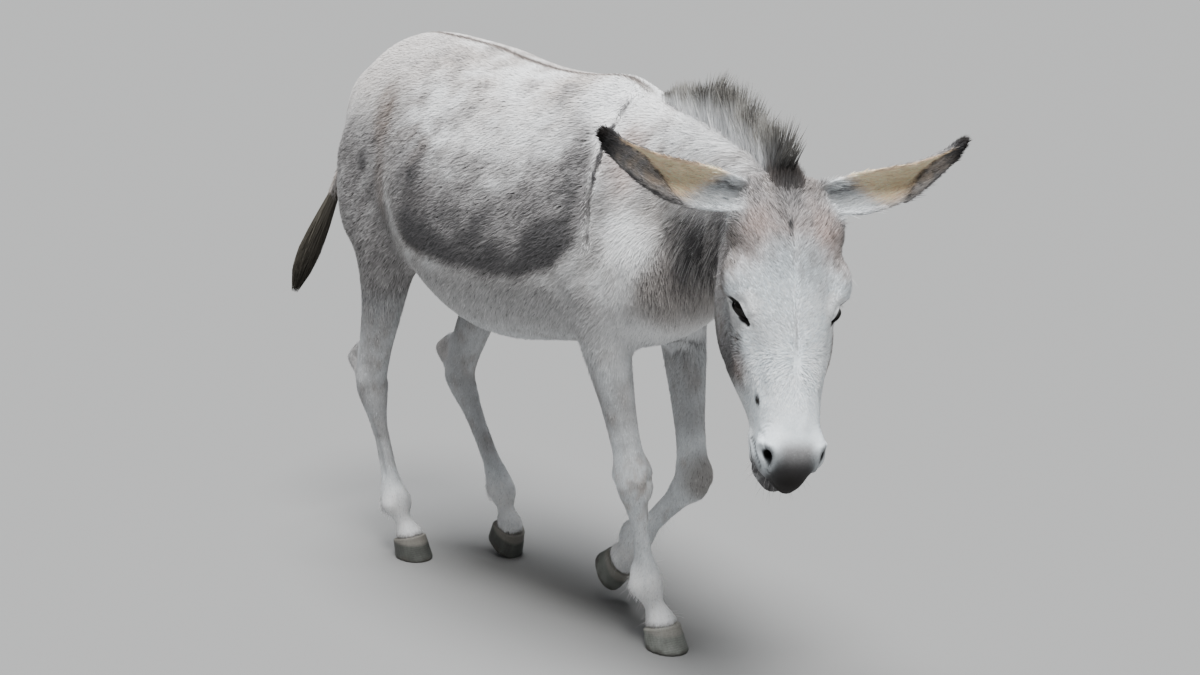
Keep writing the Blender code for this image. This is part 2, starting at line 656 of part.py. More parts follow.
def ear(side, home):
    """A cupped shell: crescents along a sagging line, whose mouth turns upwards towards the tip."""
    sign = -1 if side == "right" else 1
    root = on_head(EAR_ROOT[0], sign * EAR_ROOT[1], EAR_ROOT[2])
    tip = on_head(*EAR_TIPS[side])
    along = tip - root
    sag = HEAD_DOWN * EAR_SAG
    rings = []
    for part, half_width, depth, wall, turn in smooth_rows(EAR, 2):
        centre = root + along * part + sag * (4 * part * (1 - part))
        forward = (along + sag * (4 - 8 * part)).normalized()
        mouth = (HEAD_OUT - forward * forward.dot(HEAD_OUT)).normalized()
        mouth = Matrix.Rotation(math.radians(turn) * sign, 3, forward) @ mouth
        across = mouth.cross(forward)
        outer, inner = [], []
        steps = 9
        for i in range(steps):
            u = 2 * i / (steps - 1) - 1
            bow = 1 - abs(u) ** 2.4
            outer.append(centre + across * half_width * u + mouth * (0.45 - bow) * depth)
            inner.append(centre + across * (half_width - wall * 0.6) * u
                         + mouth * ((0.45 - bow) * depth + wall * (0.25 + 0.75 * bow)))
        rings.append(outer + inner[::-1])
    mesh_data = bmesh.new()
    loft(mesh_data, rings)
    return to_object("ear_" + side, mesh_data, home, "ear")


def tube(name, rows, ahead, home, colour, sides=10):
    mesh_data = bmesh.new()
    loft(mesh_data, swept(rows, ahead, sides=sides))
    return to_object(name, mesh_data, home, colour)


def mane(home):
    """An upright crest of hair with an uneven top."""
    rows = []
    fine = smooth_rows(MANE, 3)
    for i, (x, y, z, half_width, height) in enumerate(fine):
        wave = MANE_WAVE_HEIGHT * math.sin(MANE_WAVES * 2 * math.pi * i / len(fine))
        height = max(height + wave, 0.006)
        rows.append((x, y, z, half_width, height, MANE_ROOT, 1.5, 1.5))
    mesh_data = bmesh.new()
    loft(mesh_data, swept(rows, UP, steps=1, sides=10))
    return to_object("mane", mesh_data, home, "mane")


# ---------------------------------------------------------------- the animal
def stand_on_origin(parts):
    """Moves every solid so that the origin is below the middle of the whole box, on the ground."""
    corners = [vert.co for part in parts for vert in part.data.vertices]
    low = Vector(min(corner[axis] for corner in corners) for axis in range(3))
    high = Vector(max(corner[axis] for corner in corners) for axis in range(3))
    shift = Vector((-(low.x + high.x) / 2, -(low.y + high.y) / 2, -low.z))
    for part in parts:
        part.data.transform(Matrix.Translation(shift))
    return shift


def build():
    clear_scene()
    home = collection("donkey")
    helpers = collection("helpers", in_render=False)
    flesh = melted_flesh(helpers)
    parts = parted_flesh(flesh, home, helpers)
    for side in ("right", "left"):
        parts["eye_" + side] = eye(side, home, parts["head"], helpers)
    grown_parts = {name: grown(parts[name], helpers) for name in ("head", "neck", "trunk")}
    for side in ("right", "left"):
        parts["ear_" + side] = clear_of(ear(side, home), [grown_parts["head"], grown_parts["neck"]])
    parts["tail"] = clear_of(tube("tail", DOCK, UP, home, "coat"), [grown_parts["trunk"]])
    dock = grown(parts["tail"], helpers)
    parts["tail_switch"] = clear_of(tube("tail_switch", SWITCH, UP, home, "tail_hair"), [dock])
    parts["mane"] = clear_of(mane(home), grown_parts.values())
    for name, leg in LEGS.items():
        parts["hoof_" + name] = hoof(name, leg, home)
    return stand_on_origin(list(parts.values()))


SHIFTED = build()
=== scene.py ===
"""The donkey's looks: one skin over its flesh, a coat of tufts, long hair, eyes, hooves and a studio."""

import json
import math

import bmesh
import bpy
import numpy as np
from mathutils import Matrix, Vector

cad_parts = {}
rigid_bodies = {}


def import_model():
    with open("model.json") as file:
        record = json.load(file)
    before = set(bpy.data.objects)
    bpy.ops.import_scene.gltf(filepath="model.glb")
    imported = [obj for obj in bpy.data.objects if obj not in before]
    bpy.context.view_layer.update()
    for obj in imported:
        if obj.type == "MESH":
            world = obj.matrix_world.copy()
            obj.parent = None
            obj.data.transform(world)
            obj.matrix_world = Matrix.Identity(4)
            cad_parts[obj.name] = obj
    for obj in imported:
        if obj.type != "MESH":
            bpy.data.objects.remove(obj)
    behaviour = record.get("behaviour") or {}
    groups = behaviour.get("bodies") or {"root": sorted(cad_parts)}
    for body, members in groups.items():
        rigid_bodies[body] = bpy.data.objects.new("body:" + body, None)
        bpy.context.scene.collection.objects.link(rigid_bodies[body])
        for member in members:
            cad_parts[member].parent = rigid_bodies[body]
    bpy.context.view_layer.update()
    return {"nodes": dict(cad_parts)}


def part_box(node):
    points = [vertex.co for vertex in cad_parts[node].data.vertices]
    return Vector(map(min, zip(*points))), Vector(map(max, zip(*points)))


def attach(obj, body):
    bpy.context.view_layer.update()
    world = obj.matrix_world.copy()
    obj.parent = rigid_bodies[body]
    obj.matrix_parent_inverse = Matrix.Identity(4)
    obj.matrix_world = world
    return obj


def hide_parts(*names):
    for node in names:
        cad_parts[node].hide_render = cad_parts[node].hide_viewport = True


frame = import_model()
rng = np.random.default_rng(7)
THIN = 1.0


# ---------------------------------------------------------------- places
# The animal is described in a frame of its own: it faces -Y, its left is +X, and the ground is Z 0.
HOOF_PLACE = np.array((-0.003, -0.38305, 0.028))
SHIFT = np.mean([list(corner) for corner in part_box("hoof_right_fore")], axis=0) - HOOF_PLACE

POLL = np.array((-0.172, -0.842, 1.013))
HEAD_TURN = math.radians(28.9)
FACE_SLOPE = math.radians(25.8)
HEAD_ROLL = math.radians(-5.5)


def head_axes():
    """Rows: down the face, to the animal's left, out of the face."""
    up = np.array((0, 0, 1.0))
    ahead = np.array((-math.sin(HEAD_TURN), -math.cos(HEAD_TURN), 0))
    left = np.array((math.cos(HEAD_TURN), -math.sin(HEAD_TURN), 0))
    down = ahead * math.sin(FACE_SLOPE) - up * math.cos(FACE_SLOPE)
    out = ahead * math.cos(FACE_SLOPE) + up * math.sin(FACE_SLOPE)
    turn, tilt = math.cos(HEAD_ROLL), math.sin(HEAD_ROLL)
    return np.array((down * turn + left * tilt, left * turn - down * tilt, out))


HEAD = head_axes()


def to_head(points):
    return (points - POLL) @ HEAD.T


def from_head(points):
    return POLL + np.asarray(points, float) @ HEAD


# ---------------------------------------------------------------- maths
def unit(vectors):
    return vectors / np.maximum(np.linalg.norm(vectors, axis=-1, keepdims=True), 1e-9)


def ramp(values, start, end):
    """0 at start, 1 at end, smooth between them."""
    t = np.clip((values - start) / (end - start), 0, 1)
    return t * t * (3 - 2 * t)


def fade(values, start, end):
    """1 at start, 0 at end, smooth between them."""
    return 1 - ramp(values, start, end)


def span(values, start, full, last, end):
    """0 at start, 1 from full to last, and 0 again at end."""
    return ramp(values, start, full) * fade(values, last, end)


def bell(values, middle, width):
    return np.exp(-((values - middle) / width) ** 2)


def blend(first, second, mask):
    """The first vectors where the mask is 0, the second where it is 1."""
    return first * (1 - mask)[:, None] + np.asarray(second) * mask[:, None]


def noise(points, size, seed=0):
    """Smooth noise from -1 to 1 whose features have about the given size."""
    where = points / size + 13.7 * seed
    cell = np.floor(where).astype(np.int64)
    part = where - cell
    part = part * part * (3 - 2 * part)
    total = np.zeros(len(points))
    for corner in range(8):
        offset = np.array((corner & 1, corner >> 1 & 1, corner >> 2))
        x, y, z = (cell + offset).T
        mixed = x * 73856093 ^ y * 19349663 ^ z * 83492791 ^ (seed + 1) * 40503
        mixed = (mixed ^ mixed >> 13) * 1274126177 & 0x7FFFFFFF
        value = (mixed ^ mixed >> 15) % 65521 / 32760 - 1
        total += value * np.prod(np.where(offset, part, 1 - part), axis=1)
    return total


def fractal(points, size, seed=0, octaves=3):
    return sum(noise(points, size / 2 ** k, seed + k) / 2 ** k for k in range(octaves)) * 0.6


def wander(points, size, seed):
    """Smooth noise in three directions."""
    return np.stack([noise(points, size, seed + k) for k in range(3)], 1)


def from_line(points, line):
    """Distance from a chain of points, and how far along it the nearest place is, 0 to 1."""
    line = np.asarray(line, float)
    best = np.full(len(points), 1e9)
    along = np.zeros(len(points))
    for k, (a, b) in enumerate(zip(line, line[1:])):
        t = np.clip((points - a) @ (b - a) / max((b - a) @ (b - a), 1e-12), 0, 1)
        far = np.linalg.norm(points - a - t[:, None] * (b - a), axis=1)
        closer = far < best
        best = np.where(closer, far, best)
        along = np.where(closer, (k + t) / (len(line) - 1), along)
    return best, along


def blob(points, centre, radii):
    """1 at the centre of an ellipsoid, falling smoothly to 0 at its surface."""
    far = np.linalg.norm((points - np.asarray(centre)) / np.asarray(radii), axis=1)
    return fade(far, 0.35, 1.0)


def both_sides(points):
    """The points folded to the right side, where X is negative."""
    return points * np.where(points[:, :1] > 0, -1, 1) ** np.array((1, 0, 0))


def on_line(line, part):
    """The places this far along a chain of points, 0 to 1."""
    knots = np.linspace(0, 1, len(line))
    return np.stack([np.interp(part, knots, line[:, axis]) for axis in range(3)], -1)


# ---------------------------------------------------------------- meshes
def linked(name, data):
    """A new object in the scene."""
    obj = bpy.data.objects.new(name, data)
    bpy.context.scene.collection.objects.link(obj)
    return obj


def as_object(name, solid):
    """An object from a bmesh, which is freed."""
    mesh = bpy.data.meshes.new(name)
    solid.to_mesh(mesh)
    solid.free()
    return linked(name, mesh)


def make_object(name, points, triangles):
    """A faceted object from arrays; points are in the animal's frame."""
    mesh = bpy.data.meshes.new(name)
    mesh.vertices.add(len(points))
    mesh.vertices.foreach_set("co", (points + SHIFT).astype(np.float32).ravel())
    mesh.loops.add(triangles.size)
    mesh.loops.foreach_set("vertex_index", triangles.astype(np.int32).ravel())
    mesh.polygons.add(len(triangles))
    mesh.polygons.foreach_set("loop_start", np.arange(0, triangles.size, 3, dtype=np.int32))
    mesh.polygons.foreach_set("use_smooth", np.zeros(len(triangles), bool))
    mesh.update(calc_edges=True)
    mesh.validate()
    return linked(name, mesh)


def rows_of(items, name, width, kind=np.float32):
    """One attribute of a mesh's items, with this many numbers for each."""
    values = np.empty(len(items) * width, kind)
    items.foreach_get(name, values)
    return values.reshape(-1, width)


def arrays_of(obj):
    """Points in the animal's frame, and vertex normals."""
    points = rows_of(obj.data.vertices, "co", 3).astype(float) - SHIFT
    return points, rows_of(obj.data.vertex_normals, "vector", 3).astype(float)


def set_points(obj, points):
    obj.data.vertices.foreach_set("co", (points + SHIFT).astype(np.float32).ravel())
    obj.data.update()


def baked(obj):
    """Applies every modifier."""
    graph = bpy.context.evaluated_depsgraph_get()
    mesh = bpy.data.meshes.new_from_object(obj.evaluated_get(graph))
    obj.modifiers.clear()
    obj.data = mesh
    return obj


def remeshed(obj, voxel):
    modifier = obj.modifiers.new("remesh", "REMESH")
    modifier.mode = "VOXEL"
    modifier.voxel_size = voxel
    modifier.use_smooth_shade = True
    return baked(obj)


def smooth_points(obj, weight, times):
    """Evens out the surface, by a weight for each vertex."""
    points, _ = arrays_of(obj)
    i, j = rows_of(obj.data.edges, "vertices", 2, np.int32).T
    count = np.bincount(i, minlength=len(points)) + np.bincount(j, minlength=len(points))
    for _ in range(times):
        total = np.empty_like(points)
        for axis in range(3):
            total[:, axis] = (np.bincount(i, points[j, axis], len(points))
                              + np.bincount(j, points[i, axis], len(points)))
        points += 0.5 * weight[:, None] * (total / count[:, None] - points)
    set_points(obj, points)


PAINT = "coat"


def paint_points(obj, colours):
    """A colour for each vertex, linear, that the materials read."""
    layer = obj.data.color_attributes.new(PAINT, "FLOAT_COLOR", "POINT")
    full = np.ones((len(colours), 4), np.float32)
    full[:, :3] = colours
    layer.data.foreach_set("color", full.ravel())


# ---------------------------------------------------------------- eyes, nostrils and mouth
EYE_RADIUS = 0.0212
EYE_PLACE = np.array((0.205, 0.0685, -0.0445))
EYE_CORNERS = np.array(((0.1805, 0.0995, -0.0585), (0.2365, 0.0728, -0.0345)))
EYE_HALF_LENGTH = math.radians(66)
EYE_LIDS = (math.radians(51), math.radians(22))
LID = 0.0022
NOSTRIL = np.array((0.447, 0.0395, -0.0385))
NOSTRIL_OUT = np.array((0.3, 0.66, 0.69))
NOSTRIL_DOWN = np.array((0.9, -0.3, -0.25))
NOSTRIL_SIZE = (0.0148, 0.009)
MOUTH = np.array(((0.392, 0.052, -0.108), (0.42, 0.05, -0.104), (0.45, 0.043, -0.1005),
                  (0.48, 0.024, -0.0965), (0.496, 0.01, -0.093), (0.503, 0, -0.092)))
# How wide the drawn-out corners of the lids are at their roots and ends, the outer corner first.
WEDGE_WIDTHS = ((0.0018, 0.001), (0.0062, 0.0042))
WEDGE_START = 0.45


def mirrored(points):
    """Places on the head with both sides laid on its left."""
    local = to_head(points)
    local[:, 1] = np.abs(local[:, 1])
    return local


def handed(vectors, sides):
    """Places or directions on the head's left side, taken back to the side of each point."""
    turned = np.array(np.broadcast_to(vectors, (len(sides), 3)), float)
    turned[:, 1] *= sides
    return turned


def eye_axes():
    """Rows: from the outer corner to the inner one, up over the upper lid, out of the eye."""
    along = unit(EYE_CORNERS[1] - EYE_CORNERS[0])
    out = unit(unit(EYE_CORNERS[0] - EYE_PLACE) + unit(EYE_CORNERS[1] - EYE_PLACE))
    out = unit(out - along * (out @ along))
    return np.array((along, np.cross(along, out), out))


EYE = eye_axes()


def between_lids(local):
    """Metres inside the lids, angle round the eye and metres above the upper lid; local is mirrored."""
    u, v, w = ((local - EYE_PLACE) @ EYE.T).T
    height = np.arctan2(v, w)
    round_it = np.arctan2(u, np.hypot(v, w))
    part = round_it / EYE_HALF_LENGTH
    shape = 1 - part ** 2
    upper = EYE_LIDS[0] * np.sqrt(np.maximum(shape, 0)) * (1 - 0.12 * part) + np.minimum(shape, 0)
    lower = EYE_LIDS[1] * shape
    inside = EYE_RADIUS * np.minimum(upper - height, height - lower)
    return np.where(w > -0.004, inside, -0.03), round_it, EYE_RADIUS * (height - upper)


def from_lids(local):
    """How far inside the opening a place is, in metres along the surface it is on."""
    inside, _, _ = between_lids(local)
    return inside * np.maximum(np.linalg.norm(local - EYE_PLACE, axis=1) / EYE_RADIUS, 1) ** 1.5


def eye_wedges(local):
    """The drawn-out corners of the lids, below 1 inside each: the outer one thin, the inner one wide."""
    turn = EYE.T * (1, 1, 0.3)
    for corner, (wide, thin) in zip(EYE_CORNERS, WEDGE_WIDTHS):
        end = (corner - EYE_PLACE) @ turn
        far, along = from_line((local - EYE_PLACE) @ turn, (end * WEDGE_START, end))
        yield far / (wide + (thin - wide) * along)


def nostril_axes():
    out = unit(NOSTRIL_OUT)
    down = unit(NOSTRIL_DOWN - out * (NOSTRIL_DOWN @ out))
    return np.array((down, np.cross(out, down), out))


NOSTRIL_AXES = nostril_axes()


def round_nostril(local):
    """Below 1 inside the nostril, and which side of it: 1 on the outer side, -1 towards the middle."""
    down, across, out = ((local - NOSTRIL) @ NOSTRIL_AXES.T).T
    long, wide = NOSTRIL_SIZE
    bend = 0.0042 * (down / long) ** 2
    width = wide * (1 - 0.45 * np.clip(down / long, -1, 1.2))
    far = np.hypot((down - 0.003) / (long * 1.08), (across - bend) / np.maximum(width * 1.1, 0.002))
    return np.where(np.abs(out) < 0.02, far, 9.0), np.tanh(across / 0.004)


def mouth_line(local):
    """How far above the line between the lips a place is, and how much of the mouth is there."""
    level = np.interp(local[:, 0], MOUTH[:, 0], MOUTH[:, 2])
    far, _ = from_line(local, MOUTH)
    return local[:, 2] - level, fade(far, 0.014, 0.026) * ramp(local[:, 0], 0.388, 0.402)


# ---------------------------------------------------------------- markings
def rgb(red, green, blue):
    """A linear colour from one as seen on a screen."""
    return np.array([c / 12.92 if c < 0.04045 else ((c + 0.055) / 1.055) ** 2.4 for c in (red, green, blue)])


WHITE = rgb(0.945, 0.95, 0.955)
PALE = rgb(0.83, 0.82, 0.815)
BEIGE = rgb(0.74, 0.7, 0.67)
GREY = rgb(0.58, 0.57, 0.57)
DARK = rgb(0.34, 0.335, 0.34)
BROWN = rgb(0.5, 0.46, 0.435)
BLACK = rgb(0.15, 0.135, 0.13)
# TAN is the lining's own tan made as light as a colour goes: painted light, for the light that shines
# through the ear.
TAN = rgb(1.0, 0.89, 0.765)
PINK = rgb(0.7, 0.62, 0.59)
SKIN_GREY = rgb(0.26, 0.255, 0.26)
COOL = rgb(0.84, 0.87, 0.89)


class Paint:
    """The colours of some points, laid one over another by masks from 0 to 1."""

    def __init__(self, ground, count):
        self.colours = np.tile(ground, (count, 1))

    def lay(self, colour, mask):
        self.colours += (colour - self.colours) * np.clip(mask, 0, 1)[:, None]

    def lay_blobs(self, points, rows):
        """Each row holds a colour, a centre, radii and how much of the colour there is."""
        for colour, centre, radii, amount in rows:
            self.lay(colour, blob(points, centre, radii) * amount)


# Lower edge of the dark band along the flank: Y, Z.
BAND = np.array(((-0.4, 0.98), (-0.345, 0.9), (-0.3, 0.825), (-0.24, 0.775), (-0.2, 0.755),
                 (-0.11, 0.742), (-0.04, 0.746), (0.03, 0.755), (0.12, 0.757), (0.165, 0.765),
                 (0.2, 0.8), (0.23, 0.87), (0.255, 0.98)))
SHOULDER_STRIPE = ((0.0, -0.325, 1.145), (-0.038, -0.327, 1.107), (-0.062, -0.331, 1.087),
                   (-0.102, -0.335, 1.048), (-0.138, -0.339, 1.006), (-0.153, -0.334, 0.957),
                   (-0.157, -0.331, 0.918), (-0.165, -0.336, 0.835))
STRIPE_TOP = (1.08, 1.105)
# Across the body the distance from the stripe hardly counts.
STRIPE_SQUEEZE = np.array((0.02, 1, 1))


def from_stripe(points):
    """How far each point is from the stripe over the shoulder, and how far down the stripe."""
    return from_line(both_sides(points) * STRIPE_SQUEEZE, np.array(SHOULDER_STRIPE) * STRIPE_SQUEEZE)


# How dark the band is at each height above its lower edge; then its darker and paler places.
BAND_HEIGHTS = (0, 0.05, 0.1, 0.17, 0.26, 0.34)
BAND_FADE = (1.0, 0.95, 0.8, 0.54, 0.28, 0.08)
BAND_BLOBS = (
    ((-0.17, 0.12, 0.81), (0.12, 0.09, 0.07), 0.16),
    ((-0.16, -0.29, 0.99), (0.12, 0.04, 0.12), 0.14),
    ((-0.18, 0.15, 0.93), (0.12, 0.08, 0.12), 0.22),
    ((-0.17, -0.05, 0.985), (0.12, 0.17, 0.1), -0.26),
)


def flank_darkness(folded, streaks, patches, fine):
    """0 where the flank is white to 1 in the darkest of its band, and 1 below the band.

    The band is sharp below and ragged above.
    """
    _, y, z = folded.T
    barrel = span(y, -0.345, -0.29, 0.18, 0.3)
    edge = np.interp(y, BAND[:, 0], BAND[:, 1]) + 0.006 * noise(folded, 0.03, 5) + 0.003 * fine
    above = z - edge
    mottle = fractal(folded, 0.034, 11, 3)
    ragged = ramp(above, 0.0, 0.09)
    dark = np.interp(above, BAND_HEIGHTS, BAND_FADE) + ragged * (0.26 * streaks + 0.08 * patches)
    dark += (0.1 + 0.2 * ragged) * mottle
    for centre, radii, amount in BAND_BLOBS:
        dark += amount * blob(folded, centre, radii)
    dark = np.clip(dark, 0, 1) * barrel * ramp(above + 0.006 * mottle, -0.012, 0.02)
    return dark, barrel * ramp(-above, 0.0, 0.03)


# Streaks run down and back along the flank.
STREAK_LEAN = np.array(((1, 0, 0), (0, 0.75, 0.66), (0, -0.66, 0.75)))


def streak_space(points):
    return (points @ STREAK_LEAN.T) * (1, 1.5, 0.75)


def paint_trunk(paint, points, normals, streaks, fine, mottled):
    """Back, flank, belly, chest, thigh and shoulder."""
    lay = paint.lay
    folded = both_sides(points)
    _, y, z = folded.T
    patches = fractal(points, 0.16, 9, 3)
    trunk = ramp(z, 0.66, 0.76)
    # Beige along the back and croup, and mottling below it.
    lay(PALE, trunk * ramp(streaks + 0.5 * patches, -0.45, 0.25) * 0.75)
    lay(BEIGE, ramp(z, 1.0, 1.12) * ramp(patches + 0.3 * streaks, -0.4, 0.3) * 0.7)
    lay(BEIGE, ramp(y, 0.14, 0.34) * ramp(z, 0.98, 1.1) * 0.55)
    lay(GREY, trunk * ramp(streaks + 0.35 * patches, 0.0, 0.5) * 0.55)
    dark, below = flank_darkness(folded, streaks, patches, fine)
    lay(GREY, ramp(dark, 0.0, 0.55) * 0.95)
    lay(BROWN, ramp(dark, 0.15, 0.5) * ramp(y, 0.0, 0.16) * ramp(streaks, -0.4, 0.4) * 0.45)
    lay(DARK, ramp(dark, 0.5, 1.0))
    lay(WHITE, below * 0.4 * fade(y, 0.1, 0.16))
    # Belly and chest: painted shade, grey on the underside, low along the belly and on the chest's front.
    lay(GREY, ramp(-normals[:, 2], 0.05, 0.7) * trunk * 0.48)
    lay(GREY * 0.95, span(z, 0.58, 0.66, 0.71, 0.78) * ramp(y, -0.42, -0.3) * 0.62)
    lay(GREY, fade(y, -0.43, -0.38) * ramp(-normals[:, 1], 0.2, 0.7) * fade(z, 0.8, 0.88) * trunk * 0.95)
    lay(GREY, below * ramp(mottled, 0.1, 0.7) * 0.25)
    # White of the withers and of the upper flank, in patches.
    rear = ramp(y, 0.15, 0.28) * ramp(z, 0.5, 0.6)
    paint.lay_blobs(folded, (
        (WHITE, (-0.06, -0.3, 1.1), (0.12, 0.11, 0.08), 0.85),
        (WHITE, (-0.15, -0.12, 1.03), (0.12, 0.16, 0.09), ramp(mottled + streaks, -0.3, 0.5) * 0.8),
    ))
    # Thigh and buttock: the grey over the thigh is partly the coat's own grey and partly painted shade.
    lay(PALE, rear * 0.6)
    lay(GREY * 0.8, rear * fade(z, 0.96, 1.08) * (0.88 + 0.3 * streaks + 0.2 * mottled))
    paint.lay_blobs(folded, (
        (BROWN, (-0.18, 0.27, 1.035), (0.12, 0.05, 0.095), 0.75 + 0.3 * fine),
        (BROWN, (-0.19, 0.262, 0.9), (0.12, 0.03, 0.11), 0.5),
        (DARK, (-0.193, 0.34, 0.928), (0.1, 0.026, 0.034), 0.85),
        # Before and behind the stripe of the shoulder.
        (PINK, (-0.12, -0.385, 1.0), (0.1, 0.06, 0.11), 0.6),
        (GREY, (-0.15, -0.362, 0.93), (0.1, 0.026, 0.12), 0.35),
        (GREY * 0.9, (-0.15, -0.312, 0.9), (0.1, 0.038, 0.13), 0.6),
    ))


def paint_neck(paint, points):
    """White crest with a grey-brown streak across it, long dark hair below, white point of the shoulder."""
    folded = both_sides(points)
    _, y, z = folded.T
    streak = ramp(noise(streak_space(points), 0.035, 31), -0.4, 0.5)
    paint.lay_blobs(folded, (
        (GREY, (-0.07, -0.425, 1.03), (0.09, 0.035, 0.065), streak * 0.8),
        (BROWN, (-0.08, -0.448, 1.015), (0.08, 0.013, 0.045), 0.5),
    ))
    paint.lay(BEIGE, fade(y, -0.46, -0.4) * fade(z, 0.9, 0.99) * 0.3)
    paint.lay_blobs(folded, ((BROWN, (-0.1, -0.47, 0.94), (0.1, 0.045, 0.045), 0.28),))
    hanging = noise(points * (1, 1, 0.25), 0.01, 37)
    throat = fade(y + 0.02 * hanging, -0.51, -0.435) * ramp(z + 0.025 * hanging, 0.755, 0.83)
    throat *= fade(z + 0.25 * (y + 0.5) + 0.02 * hanging, 0.87, 0.96)
    paint.lay(DARK * 1.15, throat * (0.4 + 0.6 * ramp(hanging, -0.6, 0.4)))
    paint.lay(BLACK, throat * fade(z, 0.84, 0.92) * fade(y, -0.58, -0.5) * ramp(hanging, -0.4, 0.5) * 0.6)
    paint.lay_blobs(folded, ((WHITE, (-0.14, -0.425, 0.835), (0.1, 0.06, 0.075), 0.85),))


def paint_stripes(paint, points, normals, fine):
    """The stripes over the shoulder and along the spine, and a dark spot low on each flank."""
    y, z = points[:, 1], points[:, 2]
    far, along = from_stripe(points)
    line = fade(far + 0.0008 * fine, 0.0026, 0.0052)
    paint.lay(BLACK * 1.2, line * (0.95 - 0.35 * along) * fade(z, *STRIPE_TOP))
    middle = np.abs(points[:, 0] + 0.002 * noise(points, 0.05, 8))
    spine = ramp(normals[:, 2], 0.4, 0.8) * ramp(z, 1.0, 1.05) * span(y, -0.37, -0.3, 0.54, 0.6)
    paint.lay(BROWN, fade(middle, 0.006, 0.016) * spine * 0.9)
    paint.lay(BLACK, fade(middle, 0.002, 0.007) * spine * 0.6)
    paint.lay(DARK, blob(both_sides(points), (-0.161, 0.012, 0.639), (0.02, 0.004, 0.004)))


def paint_legs(paint, points, fine, mottled):
    """Pale, dirty at the knee and hock, with dark bars high inside the left forearm, and painted shade on
    the forearms, the hind legs and the raised left knee.
    """
    lay = paint.lay
    x, y, z = points.T
    leg = fade(z, 0.56, 0.66)
    lay(COOL, leg * 0.5)
    lay(BEIGE * 0.9, leg * ramp(mottled + 0.4 * fine, 0.0, 0.8) * ramp(z, 0.15, 0.25) * 0.55)
    lay(GREY, leg * ramp(z, 0.16, 0.26) * ramp(fractal(points, 0.05, 51), -0.2, 0.5) * 0.3)
    paint.lay_blobs(points, (
        (BEIGE, (-0.06, -0.385, 0.365), (0.08, 0.07, 0.055), leg * ramp(fine, -0.6, 0.6) * 0.6),
        # The raised left knee: dirt, darkened further as painted shade.
        (BEIGE * 0.42, (0.08, -0.405, 0.345), (0.07, 0.07, 0.07), leg * 0.75),
        (BEIGE * 0.85, (-0.108, 0.49, 0.455), (0.045, 0.045, 0.05), 0.45),
        (BEIGE * 0.85, (0.116, 0.47, 0.445), (0.045, 0.045, 0.05), 0.45),
    ))
    bars = ramp(np.sin(210 * z + 60 * x + 3 * noise(points, 0.03, 4)), 0.3, 0.8)
    inner = span(x, -0.02, 0.02, 0.1, 0.13)
    lay(DARK, bars * inner * fade(y, -0.33, -0.28) * span(z, 0.55, 0.59, 0.63, 0.66) * 0.8)
    # Painted shade: grey over the forearms and the hind legs.
    high_or_hind = np.maximum(ramp(z, 0.4, 0.5), ramp(y, 0.0, 0.1))
    lay(GREY, leg * ramp(z, 0.15, 0.26) * high_or_hind * (0.48 + 0.24 * mottled))
    lay(WHITE * 1.04, fade(z, 0.13, 0.2))
    lay(BEIGE * 0.8, fade(z, 0.052, 0.064) * 0.35)


def body_colours(points, normals):
    """Colours of the trunk, neck, legs and tail."""
    slanted = streak_space(points)
    streaks = fractal(slanted, 0.038, 3, 4)
    fine = noise(slanted, 0.009, 21)
    mottled = fractal(points, 0.03, 15, 2)
    paint = Paint(WHITE, len(points))
    paint_trunk(paint, points, normals, streaks, fine, mottled)
    paint_neck(paint, points)
    paint_stripes(paint, points, normals, fine)
    paint_legs(paint, points, fine, mottled)
    # The tail is tan outside, darkened on its sides and its front towards the buttock as painted shade.
    tail = ramp(points[:, 1] + 0.1 * (1 - points[:, 2]), 0.575, 0.59)
    paint.lay(BEIGE * 0.8, tail * 0.8)
    paint.lay(DARK, tail * fade(normals[:, 1], -0.5, 0.2) * 0.8)
    locks = noise(slanted * (1, 2.2, 0.6), 0.0075, 63)
    return paint.colours * (1 + 0.05 * noise(points, 0.02, 61) + 0.1 * locks)[:, None]


# The jaw's dark hair begins this far below the face, at each place down it.
JAW_PLACES = (0.06, 0.13, 0.2, 0.26, 0.31)
JAW_BORDER = (0.004, 0.02, 0.04, 0.046, 0.062)
NOSTRIL_GROOVE = ((0.452, 0.043, -0.046), (0.462, 0.04, -0.054), (0.474, 0.033, -0.062))


def lip_folds():
    """Wrinkles across the side of the upper lip, from the corner of the mouth to the front."""
    for k in range(9):
        start = 0.41 + 0.0062 * k
        yield ((start - 0.004, 0.054 - 0.0012 * k, -0.076), (start + 0.001, 0.052 - 0.0016 * k, -0.092),
               (start + 0.005, 0.048 - 0.002 * k, -0.112))


def line_bump(points, line, width):
    """1 on a line, falling off over the width."""
    far, along = from_line(points, line)
    return bell(far, 0, width) * span(along, 0, 0.12, 0.88, 1)


